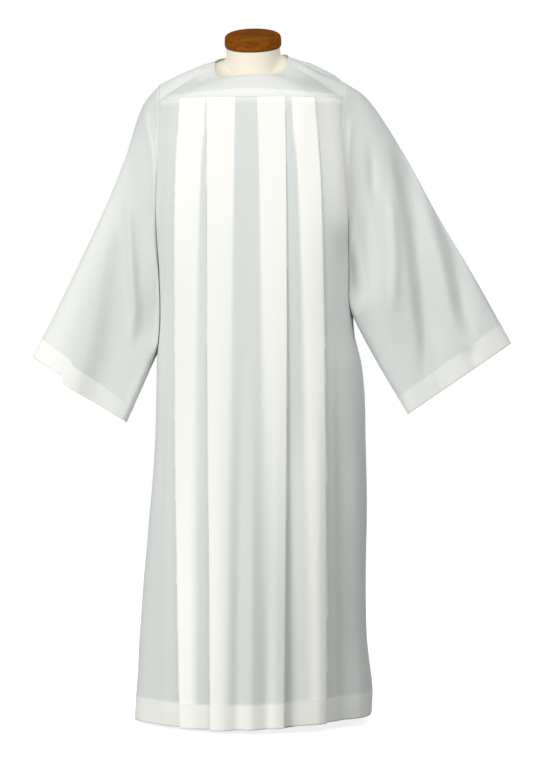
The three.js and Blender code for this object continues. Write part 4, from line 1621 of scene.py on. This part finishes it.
@dataclass
class Studio:
    """Camera, soft light and a plain pale floor."""

    swing: float = math.radians(3.5)
    distance: float = 4.5
    aside: float = 0.029
    height: float = 0.732
    lens: float = 98.0
    ambient: tuple[float, float, float, float] = (0.955, 1.0, 0.975, 1.0)
    horizon: float = 0.42
    zenith: float = 0.48
    floor_tone: tuple[float, float, float] = (0.36, 0.36, 0.36)
    floor_glow: float = 0.85
    one_sided: float = 0.2

    def camera(self) -> None:
        """Set the camera level, a little to the wearer's left."""
        a = self.swing
        data = bpy.data.cameras.new("view")
        data.lens = self.lens
        eye = bpy.data.objects.new("view", data)
        bpy.context.collection.objects.link(eye)
        eye.location = (self.distance * math.sin(a) + self.aside * math.cos(a),
                        -self.distance * math.cos(a) + self.aside * math.sin(a), self.height)
        eye.rotation_euler = (math.pi / 2, 0.0, a)
        bpy.context.scene.camera = eye

    def lamp(self, name: str, at: tuple[float, float, float], size: float, power: float,
             colour: tuple[float, float, float]) -> None:
        """Add one square soft light that faces the garment's middle.

        Args:
            name: The light's name.
            at: Where it stands, in metres.
            size: The length of its side, in metres.
            power: Its power in watts.
            colour: Its colour.
        """
        data = bpy.data.lights.new(name, "AREA")
        data.size = size
        data.energy = power
        data.color = colour
        lamp = bpy.data.objects.new(name, data)
        bpy.context.collection.objects.link(lamp)
        lamp.location = at
        aim = Vector((0.0, 0.0, 0.8)) - Vector(at)
        lamp.rotation_euler = aim.to_track_quat("-Z", "Y").to_euler()

    def seen_or_lit(self, nodes: bpy.types.Nodes, links: bpy.types.NodeLinks,
                    lit: bpy.types.NodeSocket, seen: bpy.types.NodeSocket) -> bpy.types.Node:
        """Mix what lights the garment with what is seen behind it.

        Args:
            nodes: The tree's nodes.
            links: The tree's links.
            lit: The shader that lights.
            seen: The shader that shows behind the garment.

        Returns:
            The mixed shader's node.
        """
        path = nodes.new("ShaderNodeLightPath")
        either = nodes.new("ShaderNodeMixShader")
        links.new(path.outputs["Is Camera Ray"], either.inputs[0])
        links.new(lit, either.inputs[1])
        links.new(seen, either.inputs[2])
        return either

    def world(self) -> None:
        """Soft light from all round, stronger from above, before plain white."""
        world = bpy.data.worlds.new("studio")
        world.use_nodes = True
        tree = world.node_tree
        tree.nodes.clear()
        make, link = tree.nodes.new, tree.links.new
        out = make("ShaderNodeOutputWorld")
        place = make("ShaderNodeTexCoord")
        axes = make("ShaderNodeSeparateXYZ")
        link(place.outputs["Generated"], axes.inputs[0])
        rise = make("ShaderNodeMapRange")
        rise.inputs["From Min"].default_value = 0.0
        rise.inputs["To Min"].default_value = self.horizon
        rise.inputs["To Max"].default_value = self.zenith
        link(axes.outputs["Z"], rise.inputs["Value"])
        soft = make("ShaderNodeBackground")
        soft.inputs["Color"].default_value = self.ambient
        aside = make("ShaderNodeMapRange")
        aside.inputs["From Min"].default_value = -1.0
        aside.inputs["To Min"].default_value = 1.0 + self.one_sided
        aside.inputs["To Max"].default_value = 1.0 - self.one_sided
        link(axes.outputs["X"], aside.inputs["Value"])
        strength = make("ShaderNodeMath")
        strength.operation = "MULTIPLY"
        link(rise.outputs["Result"], strength.inputs[0])
        link(aside.outputs["Result"], strength.inputs[1])
        link(strength.outputs[0], soft.inputs["Strength"])
        plain = make("ShaderNodeBackground")
        plain.inputs["Color"].default_value = (1.0, 1.0, 1.0, 1.0)
        either = self.seen_or_lit(tree.nodes, tree.links, soft.outputs[0], plain.outputs[0])
        link(either.outputs[0], out.inputs["Surface"])
        bpy.context.scene.world = world

    def floor(self) -> None:
        """A wide pale floor under the foot, which shows nearly as white as the backdrop."""
        mesh = bpy.data.meshes.new("floor")
        r, z = 9.0, -0.0004
        mesh.from_pydata([(-r, -r, z), (r, -r, z), (r, r, z), (-r, r, z)], [], [(0, 1, 2, 3)])
        floor = bpy.data.objects.new("floor", mesh)
        bpy.context.collection.objects.link(floor)
        n = Nodes("studio_floor")
        n.set(Base_Color=(*self.floor_tone, 1.0), Roughness=0.95, Specular_IOR_Level=0.1)
        glow = n.add("ShaderNodeEmission", Strength=self.floor_glow)
        both = n.add("ShaderNodeAddShader")
        n.join(n.shader, "BSDF", both, 0)
        n.join(glow, 0, both, 1)
        either = self.seen_or_lit(n.tree.nodes, n.tree.links, n.shader.outputs["BSDF"],
                                  both.outputs[0])
        n.join(either, 0, n.output, "Surface")
        mesh.materials.append(n.material)

    def build(self) -> None:
        """Set up the whole studio."""
        self.camera()
        self.world()
        self.lamp("key", (-2.4, -2.7, 1.0), 1.6, 76.0, (1.0, 0.985, 0.965))
        self.lamp("fill", (1.0, -1.7, 2.25), 1.4, 25.0, (1.0, 0.99, 0.975))
        self.lamp("back", (0.4, 3.4, 1.9), 2.0, 60.0, (1.0, 0.995, 0.985))
        self.floor()
        scene = bpy.context.scene
        scene.view_settings.view_transform = "Standard"
        scene.view_settings.look = "None"


# ------------------------------------------------------------------ the whole alb


@dataclass
class Alb:
    """All the sewn pieces, their cut sizes and their stitches."""

    cloth: bpy.types.Material
    shoulders: Shoulders = field(default_factory=Shoulders)
    # The front pleats' last four values are their whiteness from hem to seam; the low ones are painted shade.
    front: Panel = field(default_factory=lambda: Panel(
        "front_panel", Facing.FRONT, (
            Pleat(-1, (-144, -151, -159, -158, -148), 57, (1.0, 1.0, 0.60, 0.84)),
            Pleat(-1, (-77, -80, -86, -88, -89), 59, (0.86, 0.86, 0.62, 0.82)),
            Pleat(1, (79, 80, 81, 79, 76), 59, (0.18, 0.12, 0.70, 0.72)),
            Pleat(1, (164, 163, 160, 152, 138), 50, (0.92, 0.92, 0.95, 0.82))),
        FRONT_FOLDS, Ripple(0.7, 27.0, 310.0, 1.1), FRONT_SEAM_AND_PAINTED_LIGHT))
    back: Panel = field(default_factory=lambda: Panel(
        "back_panel", Facing.BACK, (
            Pleat(-1, (-147, -150, -151, -146, -138), 54),
            Pleat(-1, (-88, -86, -83, -80, -78), 58),
            Pleat(1, (84, 81, 80, 78, 76), 58),
            Pleat(1, (158, 156, 152, 145, 136), 54)),
        BACK_FOLDS, Ripple(0.7, 24.0, 280.0, 2.6)))
    # Each sleeve's pair after its pale folds is the cuff's whiteness, outer and inner; the lower inner value is
    # painted shade.
    right: Sleeve = field(default_factory=lambda: Sleeve(
        "right_sleeve", Side.RIGHT, RIGHT_RUNS, RIGHT_FRONT, RIGHT_BACK,
        Ripple(0.9, 21.0, 160.0, 0.4), RIGHT_SEAM_AND_PAINTED_LIGHT, (0.9, 0.12), rise=(9.0, 5.0, 10.0)))
    left: Sleeve = field(default_factory=lambda: Sleeve(
        "left_sleeve", Side.LEFT, LEFT_RUNS, LEFT_FRONT, LEFT_BACK,
        Ripple(0.9, 23.0, 170.0, 1.9), LEFT_SEAM_AND_PAINTED_LIGHT, (0.6, 0.4), rise=(0.0, 0.0, -4.0)))

    def hem_levels(self) -> np.ndarray:
        """Rows of the turned-up hem, from the fold to the sewn edge."""
        return np.array([0, 1.2, 4, 12, 24, 36, 46, 52.0]) + HEM_Z

    def declare(self, sheet: Sheet, node: str, flat: tuple[float, float], area: float | None) -> bpy.types.Object:
        """Build a sheet, place it and state the size that it was cut to.

        Args:
            sheet: The sheet.
            node: The node it stands for.
            flat: Its cut width and length in metres.
            area: Its cut area in square metres, or None where it is width times length.

        Returns:
            The new object.
        """
        body = place(sheet.build(self.cloth), "alb_cloth", node)
        width, length, real = sheet.flat_size()
        LOG.info("%s: widest %.3f m, longest %.3f m, area %.4f m2 (cut %s, %s)",
                 sheet.name, width, length, real, flat, area)
        return body

    def seam_line(self, sheet: Sheet, row: int, columns: slice | None = None,
                  off: float = 0.42) -> tuple[np.ndarray, np.ndarray]:
        """A line along one row of a sheet, on its outer skin, with its outward directions.

        Args:
            sheet: The sheet.
            row: The row's number.
            columns: Which columns to keep, or None for all.
            off: How far off the cloth's middle the line lies, in millimetres.

        Returns:
            The line's points and their outward directions.
        """
        grid = sheet.points
        if sheet.closed:
            across = np.roll(grid, -1, axis=1) - np.roll(grid, 1, axis=1)
        else:
            across = np.gradient(grid, axis=1)
        up = np.gradient(grid, axis=0)
        normal = np.cross(across, up)
        normal = normal / np.maximum(np.linalg.norm(normal, axis=2, keepdims=True), 1e-9)
        centre = np.array([grid[row, :, 0].mean(), 0.0, 0.0])
        outward = grid[row] - centre
        outward[:, 2] = 0
        sign = np.sign((normal[row] * outward).sum(axis=1).mean())
        line, ways = grid[row] + normal[row] * sign * off, normal[row] * sign
        if sheet.closed:
            line, ways = np.concatenate([line, line[:1]]), np.concatenate([ways, ways[:1]])
        part = columns or slice(None)
        return line[part], ways[part]

    def stitches(self, sheets: dict[str, Sheet]) -> bpy.types.Object:
        """Sew the hems, the yoke seam, the neckline and the shoulder seams.

        Args:
            sheets: The sewn sheets by name.

        Returns:
            The stitches as one object.
        """
        thread = Stitching("seam_stitches")
        for name in ("front_panel_cloth", "back_panel_cloth"):
            z = sheets[name].points[:, 0, 2]
            row = int(np.argmin(np.abs(z - (HEM_Z + HEM_DEPTH - 2.0))))
            thread.sew(*self.seam_line(sheets[name], row))
        for name in ("right_sleeve_cloth", "left_sleeve_cloth"):
            thread.sew(*self.seam_line(sheets[name], -9))
            thread.sew(*self.seam_line(sheets[name], 2))
        for name in ("yoke_front_cloth", "yoke_back_cloth"):
            thread.sew(*self.seam_line(sheets[name], 2))
            thread.sew(*self.seam_line(sheets[name], -4))
        return thread.build(self.cloth)

    def build(self) -> None:
        """Make, place and declare every piece of the garment."""
        front = self.front.sheet(self.front.levels(), "front_panel_cloth")
        back = self.back.sheet(self.back.levels(), "back_panel_cloth")
        front_hem = self.front.sheet(self.hem_levels(), "front_hem_cloth", -0.75, False)
        back_hem = self.back.sheet(self.hem_levels(), "back_hem_cloth", -0.75, False)
        yokes = self.shoulders.sheets()
        right, right_hem = self.right.sheets()
        left, left_hem = self.left.sheets()
        every = {s.name: s for s in (front, back, *yokes, right, left)}
        stitches = place(self.stitches(every), "alb_cloth")
        built = {}
        for sheet, node, flat, area, held, rests in (
                (front_hem, "front_hem", (1.03, 0.052), None, "hung", ["front_panel_cloth"]),
                (back_hem, "back_hem", (1.01, 0.052), None, "hung", ["back_panel_cloth"]),
                (right_hem, "right_cuff_hem", (0.58, 0.046), 0.023, "hung",
                 ["right_sleeve_cloth"]),
                (left_hem, "left_cuff_hem", (0.63, 0.047), 0.027, "hung", ["left_sleeve_cloth"]),
                (yokes[2], "neck_facing", (0.76, 0.056), 0.026, "draped", ["form_torso"]),
                (yokes[1], "back_yoke", (0.71, 0.18), 0.077, "draped", ["form_torso"]),
                (yokes[0], "front_yoke", (0.46, 0.15), 0.025, "draped", ["form_torso"]),
                (front, "front_panel", (1.04, 1.36), 1.32, "hung", ["yoke_front_cloth"]),
                (back, "back_panel", (1.01, 1.36), 1.29, "hung", ["yoke_back_cloth"]),
                (right, "right_sleeve", (0.81, 0.66), 0.27, "hung", ["yoke_back_cloth"]),
                (left, "left_sleeve", (0.81, 0.67), 0.33, "hung", ["yoke_back_cloth"])):
            built[sheet.name] = self.declare(sheet, node, flat, area)
        LOG.info("sewn pieces: %s", ", ".join(built))


def main() -> None:
    """Build the studio, the form on its stand and the alb."""
    logging.basicConfig(level=logging.INFO, format="%(name)s: %(message)s")
    Studio().build()
    cloth = AlbCloth().material()
    form = DressForm(Shoulders())
    place(form.build(JerseyCover().material()), "form_cover", "dress_form")
    place(NeckCap().build(form, VarnishedWood().material()), "cap_wood", "neck_cap")
    pole, foot = Stand().build(STEEL.material(), IRON.material())
    place(pole, "pole_steel", "stand_pole")
    place(foot, "base_iron", "stand_base")
    Alb(cloth).build()


if __name__ == "__main__":
    main()
